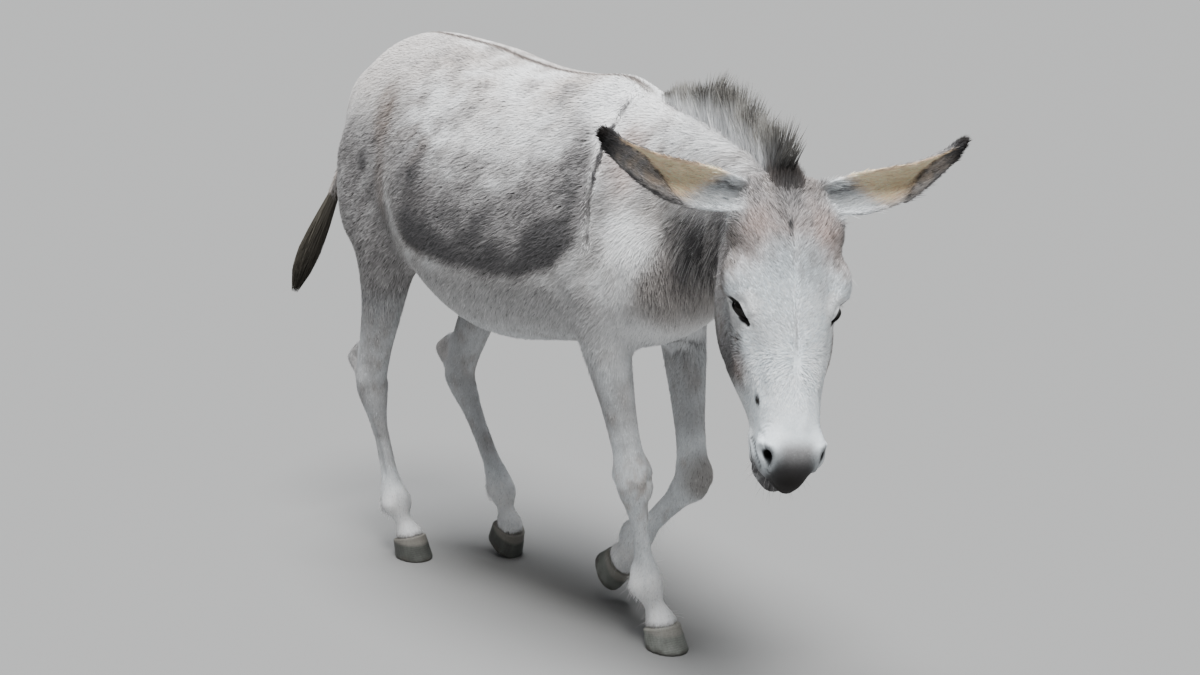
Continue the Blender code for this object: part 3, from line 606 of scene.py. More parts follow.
def paint_forehead(paint, local, mirror, fine, broad):
    lay = paint.lay
    a, side, c = mirror.T
    lay(PALE, ramp(broad, -0.2, 0.5) * 0.35)
    lay(PINK * 0.92, fade(a - 0.45 * side, 0.07, 0.15) * (0.8 + 0.25 * fine))
    lay(PINK * 0.9, blob(mirror, (0.07, 0.062, -0.01), (0.05, 0.04, 0.06)) * 0.6)
    lay(GREY, fade(a, 0.04, 0.13) * fade(side, 0.015, 0.05) * 0.55)
    lay(GREY, fade(a, 0.1, 0.17) * ramp(fine + 0.6 * broad, -0.2, 0.7) * 0.5)
    lay(DARK, fade(a, 0.025, 0.07) * fade(side, 0.01, 0.03) * ramp(c, -0.06, -0.02) * 0.8)
    paint.lay_blobs(mirror, (
        (BROWN, (0.128, 0.092, -0.03), (0.055, 0.04, 0.06), ramp(fine + broad, -0.7, 0.4) * 0.75),
        (COOL * 0.8, (0.135, 0.02, 0.01), (0.055, 0.045, 0.05), 0.65),
    ))
    lay(GREY, fade(a, 0.14, 0.22) * ramp(broad + 0.7 * fine, -0.5, 0.5) * 0.5)
    lay(BLACK, fade(a, -0.012, 0.012) * fade(side, 0.008, 0.024) * ramp(c, -0.06, -0.02))
    lay(DARK * 0.6, blob(local, (0.077, -0.005, 0.011), (0.014, 0.008, 0.03)) * 1.3)


def paint_cheek(paint, local, mirror, fine, broad):
    lay = paint.lay
    a, b, c = local.T
    jaw = ramp(-c - np.interp(a, JAW_PLACES, JAW_BORDER), -0.004, 0.012) * fade(a, 0.28, 0.335)
    lay(PALE, ramp(-c, 0.09, 0.135) * 0.6)
    lay(GREY * 0.72, jaw * (0.8 + 0.2 * fine))
    lay(BROWN, jaw * ramp(broad + 0.5 * fine, -0.3, 0.5) * 0.5)
    lay(DARK, jaw * ramp(a, 0.2, 0.27) * ramp(-c, 0.06, 0.08) * 0.7)
    lay(DARK, ramp(-c, 0.15, 0.2) * fade(a, 0.3, 0.36) * 0.85)
    paint.lay_blobs(mirror, (
        (BROWN, (0.325, 0.062, -0.085), (0.03, 0.03, 0.035), ramp(broad + fine, -0.6, 0.5) * 0.26),
        (PINK, (0.3, 0.06, -0.085), (0.05, 0.04, 0.06), 0.28),
    ))
    lay(BLACK * 1.4, blob(local, (0.356, -0.055, -0.05), (0.014, 0.02, 0.01)) * 1.2)
    # Seam down the nose.
    lay(GREY, fade(np.abs(b + 0.001), 0.0012, 0.0045) * span(a, 0.2, 0.25, 0.27, 0.31) * 0.55)


def paint_eye(paint, mirror):
    """Pale lids with black margins, drawn out into dark corners."""
    near = ramp(0.045 - np.linalg.norm(mirror - EYE_PLACE, axis=1), 0, 0.012)
    paint.lay(WHITE, near * 0.75)
    paint.lay(BLACK * 0.4, near * ramp(from_lids(mirror), -0.0036, -0.002))
    for wedge in eye_wedges(mirror):
        paint.lay(BLACK * 0.4, fade(wedge, 0.75, 1.15))


def paint_muzzle(paint, local, mirror):
    """Pale above, dark grey between the nostrils and black at the front, dark skin and painted shade in the
    nostrils, and painted shade in the grooves beside them, the folds and the mouth's line.
    """
    lay = paint.lay
    a, side, c = mirror.T
    far, outer = round_nostril(mirror)
    slant = a + 0.1 * c
    lay(GREY, ramp(a, 0.418, 0.446) * fade(side, 0.016, 0.038) * 0.85)
    lay(SKIN_GREY * 0.72, ramp(slant, 0.43, 0.472) * fade(side, 0.028, 0.048) * 0.95)
    lay(BLACK * 0.7, ramp(slant, 0.458, 0.488) * fade(side, 0.03, 0.048) * 0.9)
    lay(SKIN_GREY, fade(far, 1.0, 2.2) * (1 - 0.75 * ramp(outer, -0.3, 0.5)) * 0.8)
    # Inside the nostril: dark skin, with painted shade that is deepest at its upper end.
    lay(BLACK * 0.35, fade(far, 0.75, 1.15) * (1 - 0.55 * ramp(a, NOSTRIL[0] + 0.001, NOSTRIL[0] + 0.014)))
    # Painted shade in the groove beside each nostril.
    lay(DARK * 0.8, line_bump(mirror, NOSTRIL_GROOVE, 0.0034) * 0.7)
    lay(GREY * 0.55, blob(mirror, (0.456, 0.046, -0.104), (0.04, 0.026, 0.028)) * 0.85)
    # Painted shade in the folds of the upper lip.
    for fold in lip_folds():
        lay(DARK * 0.6, line_bump(mirror, fold, 0.0021) * 0.85)
    above, mouth = mouth_line(mirror)
    under = ramp(-above, 0.002, 0.007) * ramp(a, 0.425, 0.455)
    lay(DARK, under * ramp(noise(local * (1, 1, 0.3), 0.005, 81), -0.6, 0.2) * 0.9)
    # Painted shade in the line between the lips.
    lay(BLACK * 0.6, mouth * fade(np.abs(above), 0.001, 0.0034) * 0.95)


def head_colours(points):
    """Colours of the head and of the ears' roots."""
    local, mirror = to_head(points), mirrored(points)
    fine = noise(local * (0.6, 1, 1), 0.006, 71)
    broad = fractal(local, 0.05, 73)
    # A cool white: the bluish cast of the light is painted into the face.
    paint = Paint(rgb(0.905, 0.935, 0.955), len(points))
    paint_forehead(paint, local, mirror, fine, broad)
    paint_cheek(paint, local, mirror, fine, broad)
    paint_eye(paint, mirror)
    paint_muzzle(paint, local, mirror)
    # Fine locks lie across the forehead and the bridge of the nose.
    locks = noise(local * (1, 0.35, 1), 0.0036, 75) * span(local[:, 0], 0.06, 0.12, 0.34, 0.41)
    return paint.colours * (1 + 0.04 * fine + 0.08 * locks)[:, None]


EAR_ROOT = np.array((0.02, 0.05, -0.04))
EAR_TIPS = {-1: np.array((-0.07, -0.31, -0.01)), 1: np.array((-0.087, 0.313, -0.012))}
EAR_SAG = np.array((0.022, 0, 0))
# How far the mouth of the ear has turned upwards, in degrees, and half the ear's width, along the ear.
EAR_PARTS = (0, 0.12, 0.3, 0.5, 0.7, 0.88, 1)
EAR_TURNS = (0, 4, 14, 34, 56, 70, 76)
EAR_WIDTHS = (0.024, 0.03, 0.037, 0.036, 0.032, 0.023, 0.012)
# Where the rolled wall ends across the ear's mouth, along the ear, and how far that is moved on each ear.
FOLD_PARTS = (0.3, 0.45, 0.62, 0.8, 1.0)
FOLD_EDGE = (-1.05, -0.72, -0.1, 0.55, 1.2)
EAR_FOLDS = {-1: 0.0, 1: -0.4}


def ear_frame(points):
    """For each point, on the ear of its side: how far along it is, the ways along it and out of its mouth,
    and the place across it."""
    local = to_head(points)
    side = np.where(local[:, 1] < 0, -1.0, 1.0)
    roots = handed(EAR_ROOT, side)
    tips = np.where(side[:, None] < 0, EAR_TIPS[-1], EAR_TIPS[1])
    along = tips - roots
    part = ((local - roots) * along).sum(1) / (along * along).sum(1)
    held = np.clip(part, 0, 1)[:, None]
    centre = roots + along * held + EAR_SAG * 4 * held * (1 - held)
    ahead = unit(along + EAR_SAG * (4 - 8 * held))
    mouth = unit(np.array((0, 0, 1.0)) - ahead * ahead[:, 2:])
    turn = (np.radians(np.interp(part, EAR_PARTS, EAR_TURNS)) * side)[:, None]
    mouth = mouth * np.cos(turn) + np.cross(ahead, mouth) * np.sin(turn)
    across = np.cross(mouth, ahead)
    place = ((local - centre) * across).sum(1) / np.interp(part, EAR_PARTS, EAR_WIDTHS)
    return part, ahead @ HEAD, mouth @ HEAD, place * side


def ear_fold(points, part, place):
    """Above 0 where the lower wall of the ear is rolled up over its mouth, less so on the left ear."""
    moved = np.where(to_head(points)[:, 1] < 0, EAR_FOLDS[-1], EAR_FOLDS[1])
    return np.interp(part, FOLD_PARTS, FOLD_EDGE) + moved - place


def ear_colours(points, normals):
    """Tan lining, grey back and rolled wall, dark rim and tip."""
    part, _, mouth, place = ear_frame(points)
    inner = ramp((normals * mouth).sum(1), -0.15, 0.35)
    fine = noise(points, 0.007, 93)
    paint = Paint(PALE, len(points))
    lay = paint.lay
    lay(COOL, fade(part, 0.25, 0.45) * 0.6)
    # Painted shade: a dark line along the crease in the ear's hollow near its root.
    crease = fade(np.abs(place - 0.46 + 0.15 * fine), 0.04, 0.17)
    lay(DARK, inner * crease * span(part, 0.08, 0.14, 0.34, 0.44) * 0.75)
    lay(TAN, ramp(inner, 0.0, 0.4) * ramp(part + 0.1 * place, 0.26, 0.38) * ramp(place, -1.0, -0.5))
    folded = ear_fold(points, part, place)
    lay(GREY * 1.05, inner * ramp(folded, -0.02, 0.04) * (0.85 + 0.25 * fine))
    lay(DARK, inner * ramp(folded, 0.0, 0.05) * ramp(part, 0.6, 0.9) * 0.5)
    edge = fade(np.abs(folded - 0.02), 0.03, 0.1)
    lay(DARK * 0.7, inner * edge * ramp(part, 0.4, 0.5) * ramp(fine, -0.7, 0.1) * 0.8)
    lay(GREY, (1 - inner) * ramp(part, 0.34, 0.6) * 0.85)
    lay(DARK, (1 - inner) * ramp(part, 0.66, 0.9) * 0.5)
    rim = ramp(np.abs(place), 0.74, 0.95)
    lay(DARK * 0.65, rim * ramp(part + 0.1 * fine, 0.34, 0.46) * ramp(fine, -0.6, 0.2) * 0.7)
    lay(DARK * 0.8, ramp(part + 0.03 * fine, 0.84, 0.91))
    lay(BLACK * 1.2, ramp(part + 0.02 * fine, 0.91, 0.96) * 0.9)
    return paint.colours * (1 + 0.06 * fine)[:, None]


def shares(points):
    """How much each point belongs to the ears and to the head; the rest is body."""
    a, b, c = to_head(points).T
    ear = ramp(ear_frame(points)[0], 0.02, 0.12) * ramp(np.abs(b), 0.055, 0.085) * fade(a, 0.055, 0.085)
    ear *= ramp(c, -0.14, -0.1) * (points[:, 1] < -0.55)
    head = np.maximum(ramp(c + 0.5 * a, -0.13, -0.06), ramp(a, 0.05, 0.09))
    return ear, head * (points[:, 1] < -0.6)


def coat_colours(points, normals):
    """Colours anywhere on the animal, as the skin and the coat over it have them."""
    ear, head = shares(points)
    colour = body_colours(points, normals)
    some = head > 0
    colour[some] += (head_colours(points[some]) - colour[some]) * head[some, None]
    some = ear > 0
    colour[some] += (ear_colours(points[some], normals[some]) - colour[some]) * ear[some, None]
    return np.clip(colour, 0.004, 0.94)


# ---------------------------------------------------------------- skin
FLESH = ("trunk", "neck", "head", "leg_right_fore", "leg_left_fore", "leg_right_hind",
         "leg_left_hind", "tail")
EARS = ("ear_right", "ear_left")
# The solids are grown by these, so that the thin cuts between them close.
FLESH_GROWTH, EAR_GROWTH = 0.0004, 0.0012
FLESH_VOXEL, SKIN_VOXEL = 0.0065, 0.0033
SOCKET_RADIUS = 0.0242
SKIN_TRIANGLES = 150000


def hand_over(obj, material, nodes=()):
    """Gives a piece its material, and the CAD nodes whose place it takes."""
    obj.data.materials.append(MATERIALS[material])
    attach(obj, "root")
    if nodes:
        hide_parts(*nodes)


def add_solids(whole, nodes, growth):
    """Adds CAD nodes to a bmesh, each grown a little."""
    for name in nodes:
        piece = bmesh.new()
        piece.from_mesh(frame["nodes"][name].data)
        bmesh.ops.remove_doubles(piece, verts=piece.verts, dist=1e-5)
        piece.normal_update()
        for vert in piece.verts:
            vert.co += vert.normal * growth
        mesh = bpy.data.meshes.new(name + "_copy")
        piece.to_mesh(mesh)
        piece.free()
        whole.from_mesh(mesh)
        bpy.data.meshes.remove(mesh)


def add_ball(whole, side, radius, segments, rings):
    """Adds a ball to a bmesh at the eye's place, on the left for side 1 and on the right for -1."""
    place = Vector(from_head(EYE_PLACE * (1, side, 1)) + SHIFT)
    bmesh.ops.create_uvsphere(whole, u_segments=segments, v_segments=rings, radius=radius,
                              matrix=Matrix.Translation(place))


def coat_depth(points):
    """How deep the coat is, which is how far the skin lies below the solids."""
    ear, head = shares(points)
    depth = 0.0035 - 0.0022 * fade(points[:, 2], 0.45, 0.66)
    depth = depth + (0.0012 - depth) * head
    return depth + (0.0007 - depth) * ear


def build_skin():
    """One surface over the flesh and ears, evened out and sunk by the coat's depth."""
    flesh = bmesh.new()
    add_solids(flesh, FLESH, FLESH_GROWTH)
    # The sockets are filled here, and cut again in the finer skin.
    for side in (-1, 1):
        add_ball(flesh, side, SOCKET_RADIUS, 24, 16)
    skin = remeshed(as_object("skin", flesh), FLESH_VOXEL)
    points, _ = arrays_of(skin)
    _, head = shares(points)
    trunk = ramp(points[:, 2], 0.55, 0.7) * (1 - head) * fade(points[:, 1], 0.54, 0.58)
    smooth_points(skin, 0.35 + 0.65 * np.maximum(trunk, head * 0.6), 6)
    smooth_points(skin, trunk, 60)
    both = bmesh.new()
    both.from_mesh(skin.data)
    add_solids(both, EARS, EAR_GROWTH)
    bpy.data.objects.remove(skin)
    skin = remeshed(as_object("skin", both), SKIN_VOXEL)
    points, _ = arrays_of(skin)
    ear, _ = shares(points)
    smooth_points(skin, 1 - 0.45 * ear, 7)
    points, normals = arrays_of(skin)
    set_points(skin, points - normals * coat_depth(points)[:, None])
    thin_out(skin)
    return skin


def thin_out(skin):
    """Fewer triangles on the body, none lost on the face."""
    points, _ = arrays_of(skin)
    levels = 4
    level = np.round((1 - np.maximum(*shares(points))) * levels).astype(int)
    group = skin.vertex_groups.new(name="thin")
    for k in range(levels + 1):
        group.add(np.flatnonzero(level == k).tolist(), 0.15 + 0.85 * k / levels, "REPLACE")
    modifier = skin.modifiers.new("thin", "DECIMATE")
    modifier.ratio = SKIN_TRIANGLES / (2 * len(skin.data.polygons))
    modifier.vertex_group = "thin"
    modifier.vertex_group_factor = 1
    baked(skin)


LONGEST_EDGE = 1.35


def refine(obj, size_at):
    """Makes triangles, and splits edges that are longer than the size wanted at their place."""
    mesh = bmesh.new()
    mesh.from_mesh(obj.data)
    bmesh.ops.triangulate(mesh, faces=mesh.faces)
    for _ in range(3):
        mesh.verts.index_update()
        points = np.array([vert.co for vert in mesh.verts]) - SHIFT
        size = size_at(points)
        ends = np.array([(edge.verts[0].index, edge.verts[1].index) for edge in mesh.edges])
        length = np.linalg.norm(points[ends[:, 0]] - points[ends[:, 1]], axis=1)
        long = length > LONGEST_EDGE * np.minimum(size[ends[:, 0]], size[ends[:, 1]])
        if not long.any():
            break
        edges = [edge for edge, chosen in zip(mesh.edges, long) if chosen]
        bmesh.ops.subdivide_edges(mesh, edges=edges, cuts=1)
        bmesh.ops.triangulate(mesh, faces=[face for face in mesh.faces if len(face.verts) > 3])
    mesh.to_mesh(obj.data)
    mesh.free()


UNREFINED = 1.0


def fineness(points):
    """The size of triangle wanted at each place."""
    size = np.full(len(points), UNREFINED)
    on_head = np.flatnonzero(np.linalg.norm(points - from_head((0.25, 0, -0.08)), axis=1) < 0.34)
    local = mirrored(points[on_head])
    eye = np.linalg.norm(local - EYE_PLACE, axis=1)
    far, _ = round_nostril(local)
    above, mouth = mouth_line(local)
    fine = np.where(local[:, 0] > 0.385, 0.0024, UNREFINED)
    for where, wanted in ((eye < 0.044, 0.0021),
                          ((eye < 0.042) & (from_lids(local) > -0.009), 0.001),
                          (far < 2.6, 0.0012),
                          ((mouth > 0.1) & (np.abs(above) < 0.008), 0.0013)):
        fine = np.where(where, wanted, fine)
    size[on_head] = fine
    return size


# Bone, ridges and furrows of the face, on its left side: line, width, height.
HEAD_LINES = (
    (((0.142, 0.1, -0.04), (0.165, 0.092, -0.026), (0.2, 0.074, -0.018), (0.228, 0.062, -0.02)),
     0.01, 0.003),
    (((0.232, 0.088, -0.078), (0.275, 0.076, -0.078), (0.335, 0.064, -0.072)), 0.009, 0.003),
    (((0.235, 0.066, -0.03), (0.29, 0.052, -0.03), (0.37, 0.046, -0.03)), 0.012, -0.0022),
    (((0.25, 0.012, 0.004), (0.33, 0.012, 0.0), (0.42, 0.014, -0.006)), 0.008, 0.0016),
    (((0.215, 0, 0.01), (0.3, 0, 0.002), (0.365, 0, 0.0)), 0.003, -0.0012),
    (((0.245, 0.084, -0.11), (0.262, 0.074, -0.16), (0.262, 0.05, -0.205)), 0.01, -0.002),
    (((0.232, 0.086, -0.088), (0.262, 0.074, -0.1), (0.3, 0.066, -0.112), (0.315, 0.058, -0.135)),
     0.0028, 0.0013),
    (((0.262, 0.074, -0.1), (0.29, 0.062, -0.07), (0.33, 0.052, -0.046)), 0.0024, 0.0009),
    (((0.408, 0.052, -0.066), (0.432, 0.054, -0.066), (0.452, 0.05, -0.07)), 0.0022, -0.0012),
    (NOSTRIL_GROOVE, 0.0032, -0.0022),
    (((0.446, 0.052, -0.05), (0.46, 0.048, -0.06), (0.473, 0.04, -0.068)), 0.0036, 0.0016),
)
# The hollow over the eye, the lower lip's side and front, and the chin: centre, radii, height.
HEAD_BLOBS = (
    ((0.112, 0.078, -0.03), (0.034, 0.03, 0.04), -0.0035),
    ((0.458, 0.038, -0.108), (0.042, 0.03, 0.036), 0.0066),
    ((0.466, 0.02, -0.126), (0.042, 0.04, 0.028), 0.008),
    ((0.452, 0, -0.128), (0.026, 0.026, 0.02), 0.004),
)


def nose_folds():
    """Wrinkles over the nose, behind each nostril."""
    for k in range(4):
        start = 0.398 + 0.0075 * k
        yield ((start, 0.054, -0.052 + 0.002 * k), (start - 0.004, 0.044, -0.03),
               (start + 0.003, 0.03, -0.016))


def head_lines():
    yield from HEAD_LINES
    for fold in nose_folds():
        yield fold, 0.0014, -0.0011
    for fold in lip_folds():
        yield fold, 0.0013, -0.0014


def head_relief(points):
    """Height added to the face, in metres: bone, hollows, folds, nostril wings and lips."""
    local = mirrored(points)
    height = sum(rise * line_bump(local, line, width) for line, width, rise in head_lines())
    height += sum(rise * blob(local, centre, radii) for centre, radii, rise in HEAD_BLOBS)
    # Nostril: a raised wing outside, a low pad inside.
    far, outer = round_nostril(local)
    height += bell(far, 1.55, 0.42) * (0.0016 + 0.0014 * ramp(outer, -0.2, 0.7))
    height -= 0.0012 * bell(far, 2.7, 0.5) * ramp(outer, 0, 0.7)
    # Lips: full above and below a sharp line.
    above, mouth = mouth_line(local)
    height += mouth * 0.0018 * (bell(above, 0.008, 0.006) + bell(above, -0.007, 0.005))
    return height - mouth * 0.0042 * bell(above, 0, 0.0017)


def ear_knob(points):
    """The small fold at the outer foot of each ear."""
    local = mirrored(points)
    return 0.0045 * blob(local, (0.038, 0.073, -0.03), (0.011, 0.011, 0.014))


def ear_roll(points, normals):
    """The rolled lower wall of each ear, standing over its mouth."""
    part, _, mouth, place = ear_frame(points)
    inner = ramp((normals * mouth).sum(1), -0.05, 0.25)
    return 0.0055 * inner * ramp(ear_fold(points, part, place), -0.03, 0.09) * fade(part, 0.9, 0.98)


def open_eyes_and_nostrils(points, normals):
    """Lays the lids round the balls of the eyes, opens them, and sinks the nostrils."""
    local = mirrored(points)
    sides = np.where(to_head(points)[:, 1] < 0, -1.0, 1.0)
    inside, round_it, over = between_lids(local)
    offset = local - EYE_PLACE
    radius = np.linalg.norm(offset, axis=1)
    lid = EYE_RADIUS + LID
    fold = 0.001 * bell(over, 0.0085, 0.0016) + 0.0008 * bell(over, -0.019, 0.0016)
    margin = 0.0007 * bell(inside, -0.0022, 0.0012)
    wanted = lid + margin - fold - (lid - (EYE_RADIUS - 0.0045)) * ramp(inside, -0.0008, 0.0012)
    hold = ramp(inside, -0.0125, -0.003) * fade(np.abs(round_it), EYE_HALF_LENGTH, EYE_HALF_LENGTH + 0.3)
    hold *= fade(radius, 0.027, 0.04) * ((offset @ EYE[2]) > 0)
    new_radius = radius + (wanted - radius) * hold
    local = EYE_PLACE + offset * (new_radius / np.maximum(radius, 1e-6))[:, None]
    # Creases run from the lids to the corners.
    flat = handed(normals @ HEAD.T, sides)
    for wedge in eye_wedges(local):
        local = local - flat * (0.0026 * bell(wedge, 0, 0.7) * (1 - hold))[:, None]
    far, _ = round_nostril(local)
    into = -NOSTRIL_AXES[2] + np.array((-0.35, -0.1, 0.0))
    local = local + unit(into) * (0.017 * fade(far, 0.15, 1.12))[:, None]
    return from_head(handed(local, sides))


# Tendons and bones of the legs: lines on the animal's right and left, with a width and a height.
LEG_LINES = (
    (((-0.058, -0.32, 0.32), (-0.042, -0.318, 0.24), (-0.024, -0.318, 0.165)), 0.005, -0.00567),
    (((-0.08, -0.33, 0.3), (-0.064, -0.326, 0.23), (-0.044, -0.322, 0.165)), 0.005, -0.00567),
    (((-0.128, 0.452, 0.35), (-0.108, 0.44, 0.26), (-0.098, 0.432, 0.18)), 0.006, -0.00648),
    (((-0.082, 0.452, 0.35), (-0.07, 0.44, 0.26), (-0.062, 0.432, 0.18)), 0.006, -0.00648),
    (((0.14, 0.41, 0.34), (0.142, 0.37, 0.27), (0.142, 0.31, 0.185)), 0.006, -0.00648),
    (((0.094, 0.41, 0.34), (0.096, 0.37, 0.27), (0.098, 0.31, 0.185)), 0.006, -0.00648),
)
# Bony places of the knees, hocks and fetlocks: place, radius, height.
LEG_KNOBS = (
    ((-0.046, -0.385, 0.392), 0.026, 0.00525), ((-0.08, -0.388, 0.38), 0.026, 0.00525),
    ((-0.048, -0.382, 0.34), 0.024, 0.0045), ((-0.078, -0.31, 0.372), 0.026, 0.0075),
    ((-0.062, -0.385, 0.366), 0.012, -0.003), ((-0.06, -0.39, 0.305), 0.022, -0.0033),
    ((0.096, -0.405, 0.352), 0.026, 0.00525), ((0.06, -0.405, 0.348), 0.026, 0.00525),
    ((-0.046, -0.335, 0.128), 0.024, 0.006), ((0.01, -0.335, 0.128), 0.024, 0.006),
    ((-0.016, -0.3, 0.118), 0.022, 0.00675), ((0.078, -0.196, 0.188), 0.022, 0.006),
    ((-0.104, 0.418, 0.13), 0.024, 0.006), ((-0.05, 0.414, 0.13), 0.024, 0.006),
    ((-0.078, 0.458, 0.118), 0.022, 0.00675), ((0.124, 0.306, 0.16), 0.022, 0.00675),
    ((-0.142, 0.45, 0.42), 0.026, 0.00525), ((-0.08, 0.452, 0.405), 0.026, 0.00525),
    ((-0.116, 0.478, 0.52), 0.03, -0.00675), ((0.15, 0.425, 0.405), 0.026, 0.00525),
    ((0.088, 0.42, 0.395), 0.026, 0.00525), ((0.12, 0.44, 0.505), 0.03, -0.00675),
)
# From each fetlock to the top of its hoof, and along each cannon: drawn in between the ends.
PASTERNS = (
    ((-0.02, -0.33, 0.128), (-0.003, -0.368, 0.046)), ((0.078, -0.218, 0.185), (0.082, -0.158, 0.106)),
    ((-0.078, 0.436, 0.128), (-0.056, 0.402, 0.046)), ((0.12, 0.29, 0.155), (0.11, 0.246, 0.069)),
)
CANNONS = (
    ((-0.058, -0.348, 0.31), (-0.026, -0.33, 0.15)), ((-0.1, 0.458, 0.37), (-0.08, 0.438, 0.15)),
)
# Folds and hollows of the body, on its right side: line, width, height.
BODY_LINES = (
    (((-0.15, -0.36, 0.965), (-0.172, -0.398, 0.88), (-0.165, -0.415, 0.8), (-0.13, -0.42, 0.74)),
     0.016, -0.0035),
    (((-0.15, -0.3, 0.7), (-0.16, -0.262, 0.745), (-0.165, -0.235, 0.8)), 0.014, -0.0045),
    (((-0.14, 0.215, 0.76), (-0.165, 0.245, 0.84), (-0.165, 0.262, 0.93)), 0.016, -0.0035),
    (((-0.06, -0.44, 0.82), (-0.075, -0.428, 0.74), (-0.085, -0.4, 0.69)), 0.01, -0.004),
    (((-0.09, -0.47, 1.0), (-0.112, -0.47, 0.93), (-0.105, -0.47, 0.87)), 0.014, -0.0035),
    (((-0.155, 0.44, 0.96), (-0.158, 0.462, 0.86), (-0.15, 0.47, 0.76)), 0.016, -0.003),
)


def body_relief(points):
    """Height added to the body, in metres: folds, tendons, joints and unevenness."""
    folded = both_sides(points)
    height = np.zeros(len(points))
    for line, width, rise in BODY_LINES:
        height += rise * line_bump(folded, line, width)
    for line, width, rise in LEG_LINES:
        height += rise * line_bump(points, line, width)
    for place, radius, rise in LEG_KNOBS:
        height += rise * blob(points, place, (radius, radius, radius * 1.15))
    for pastern in PASTERNS:
        far, along = from_line(points, pastern)
        drawn_in = 0.0028 * bell(along, 0, 0.2) - 0.0058 * bell(along, 0.55, 0.22)
        height += fade(far, 0.042, 0.06) * drawn_in
    for cannon in CANNONS:
        far, along = from_line(points, cannon)
        height -= 0.0026 * fade(far, 0.038, 0.055) * np.sin(math.pi * along)
    height += fade(points[:, 2], 0.45, 0.6) * 0.0014 * fractal(points, 0.022, 111, 2)
    return height + 0.0011 * fractal(points, 0.07, 113, 2) * ramp(points[:, 2], 0.66, 0.8)


def sculpt(skin):
    """Adds the relief, then shapes the eyes and nostrils."""
    refine(skin, fineness)
    points, _ = arrays_of(skin)
    smooth_points(skin, (fineness(points) < UNREFINED / 2).astype(float), 4)
    points, normals = arrays_of(skin)
    ear, head = shares(points)
    height = body_relief(points) * (1 - np.maximum(head, ear))
    some = head > 0
    height[some] += head_relief(points[some]) * head[some]
    height += ear_knob(points) + ear_roll(points, normals) * ear
    points += normals * height[:, None]
    set_points(skin, points)
    points, normals = arrays_of(skin)
    near = np.flatnonzero(np.linalg.norm(points - from_head((0.3, 0, -0.05)), axis=1) < 0.24)
    points[near] = open_eyes_and_nostrils(points[near], normals[near])
    set_points(skin, points)


# ---------------------------------------------------------------- the lie of the coat
WHORL = 0.3


def lie_of_coat(points):
    """The way the hair lies, before it is laid flat on the skin."""
    x, y, z = points.T
    lie = np.tile((0, 0.85, -0.45), (len(points), 1))
    lie[:, 2] -= 0.7 * fade(z, 0.66, 0.84)
    lie = blend(lie, (0, 0.12, -1.0), fade(z, 0.58, 0.7))
    lie = blend(lie, (0, 0.1, -1.0), ramp(-y, 0.36, 0.44) * fade(z, 0.8, 0.92))
    lie = blend(lie, (0, 0.75, -0.65), ramp(-y, 0.44, 0.52) * ramp(z, 0.8, 0.9))
    dock = ramp(y + 0.15 * (1.04 - z), 0.545, 0.575) * ramp(z, 0.55, 0.6)
    lie = blend(lie, (-0.1, 0.12, -1.0), dock)
    stifle = blob(both_sides(points), (-0.16, 0.235, 0.86), (0.1, 0.06, 0.12))
    lie = blend(lie, (0, 0.15, -1.0), stifle) + 0.16 * wander(points, 0.05, 121)
    down_stripe = np.stack((0.6 * np.sign(x), 0 * x, 0 * x - 1), 1)
    lie = blend(lie, down_stripe, fade(from_stripe(points)[0], 0.006, 0.022))
    ear, head = shares(points)
    some = head > 0
    lie[some] = blend(lie[some], lie_on_head(to_head(points[some])), head[some])
    some = ear > 0
    lie[some] = blend(lie[some], ear_frame(points[some])[1], ear[some])
    return lie


def lie_on_head(local):
    """Up from the whorl between the eyes and nostrils, down below it, and down over the cheeks."""
    a, b, c = local.T
    side = np.abs(b)
    fan = np.tanh(b / 0.007) * (0.3 + 0.55 * np.exp(-side / 0.045))
    down = np.tanh((a - WHORL + 0.25 * side) / 0.035)
    fan = fan * (1 - 0.55 * ramp(a, WHORL, WHORL + 0.05))
    way = np.stack((0.85 * down, fan, -0.25 * ramp(side, 0.03, 0.08)), 1)
    way = blend(way, (0.35, 0, -0.95), ramp(-c, 0.055, 0.105))
    return (way + 0.12 * wander(local, 0.018, 131)) @ HEAD


def laid_flat(directions, normals):
    return unit(directions - normals * (directions * normals).sum(1, keepdims=True))


# ---------------------------------------------------------------- roots of hair
class Roots:
    """Places where hair stands on the skin."""

    def __init__(self, points, normals, unwrap):
        self.points, self.normals, self.unwrap = points, normals, unwrap

    def __getitem__(self, chosen):
        return Roots(self.points[chosen], self.normals[chosen], self.unwrap[chosen])

    def __len__(self):
        return len(self.points)


def skin_triangles(skin):
    """Corner points, corner normals and corner places on the unwrap of every triangle."""
    mesh = skin.data
    mesh.calc_loop_triangles()
    verts = rows_of(mesh.loop_triangles, "vertices", 3, np.int32)
    loops = rows_of(mesh.loop_triangles, "loops", 3, np.int32)
    unwrap = rows_of(mesh.uv_layers[BAKE].data, "uv", 2)
    points, normals = arrays_of(skin)
    return points[verts], normals[verts], unwrap[loops]


def scatter(density, share=THIN):
    """Roots spread over the skin; density gives how many stand on a square metre at each place."""
    points, normals, unwrap = TRIANGLES
    area = 0.5 * np.linalg.norm(np.cross(points[:, 1] - points[:, 0], points[:, 2] - points[:, 0]), axis=1)
    total = np.cumsum(area * density(points.mean(1), unit(normals.mean(1))) * share)
    count = int(total[-1])
    picked = np.searchsorted(total, (np.arange(count) + rng.random(count)) * total[-1] / count)
    picked = np.minimum(picked, len(area) - 1)
    u, v = rng.random((2, count))
    over = u + v > 1
    u, v = np.where(over, 1 - u, u), np.where(over, 1 - v, v)
    weights = np.stack((1 - u - v, u, v), 1)[:, :, None]
    return Roots((points[picked] * weights).sum(1), unit((normals[picked] * weights).sum(1)),
                 (unwrap[picked] * weights).sum(1))


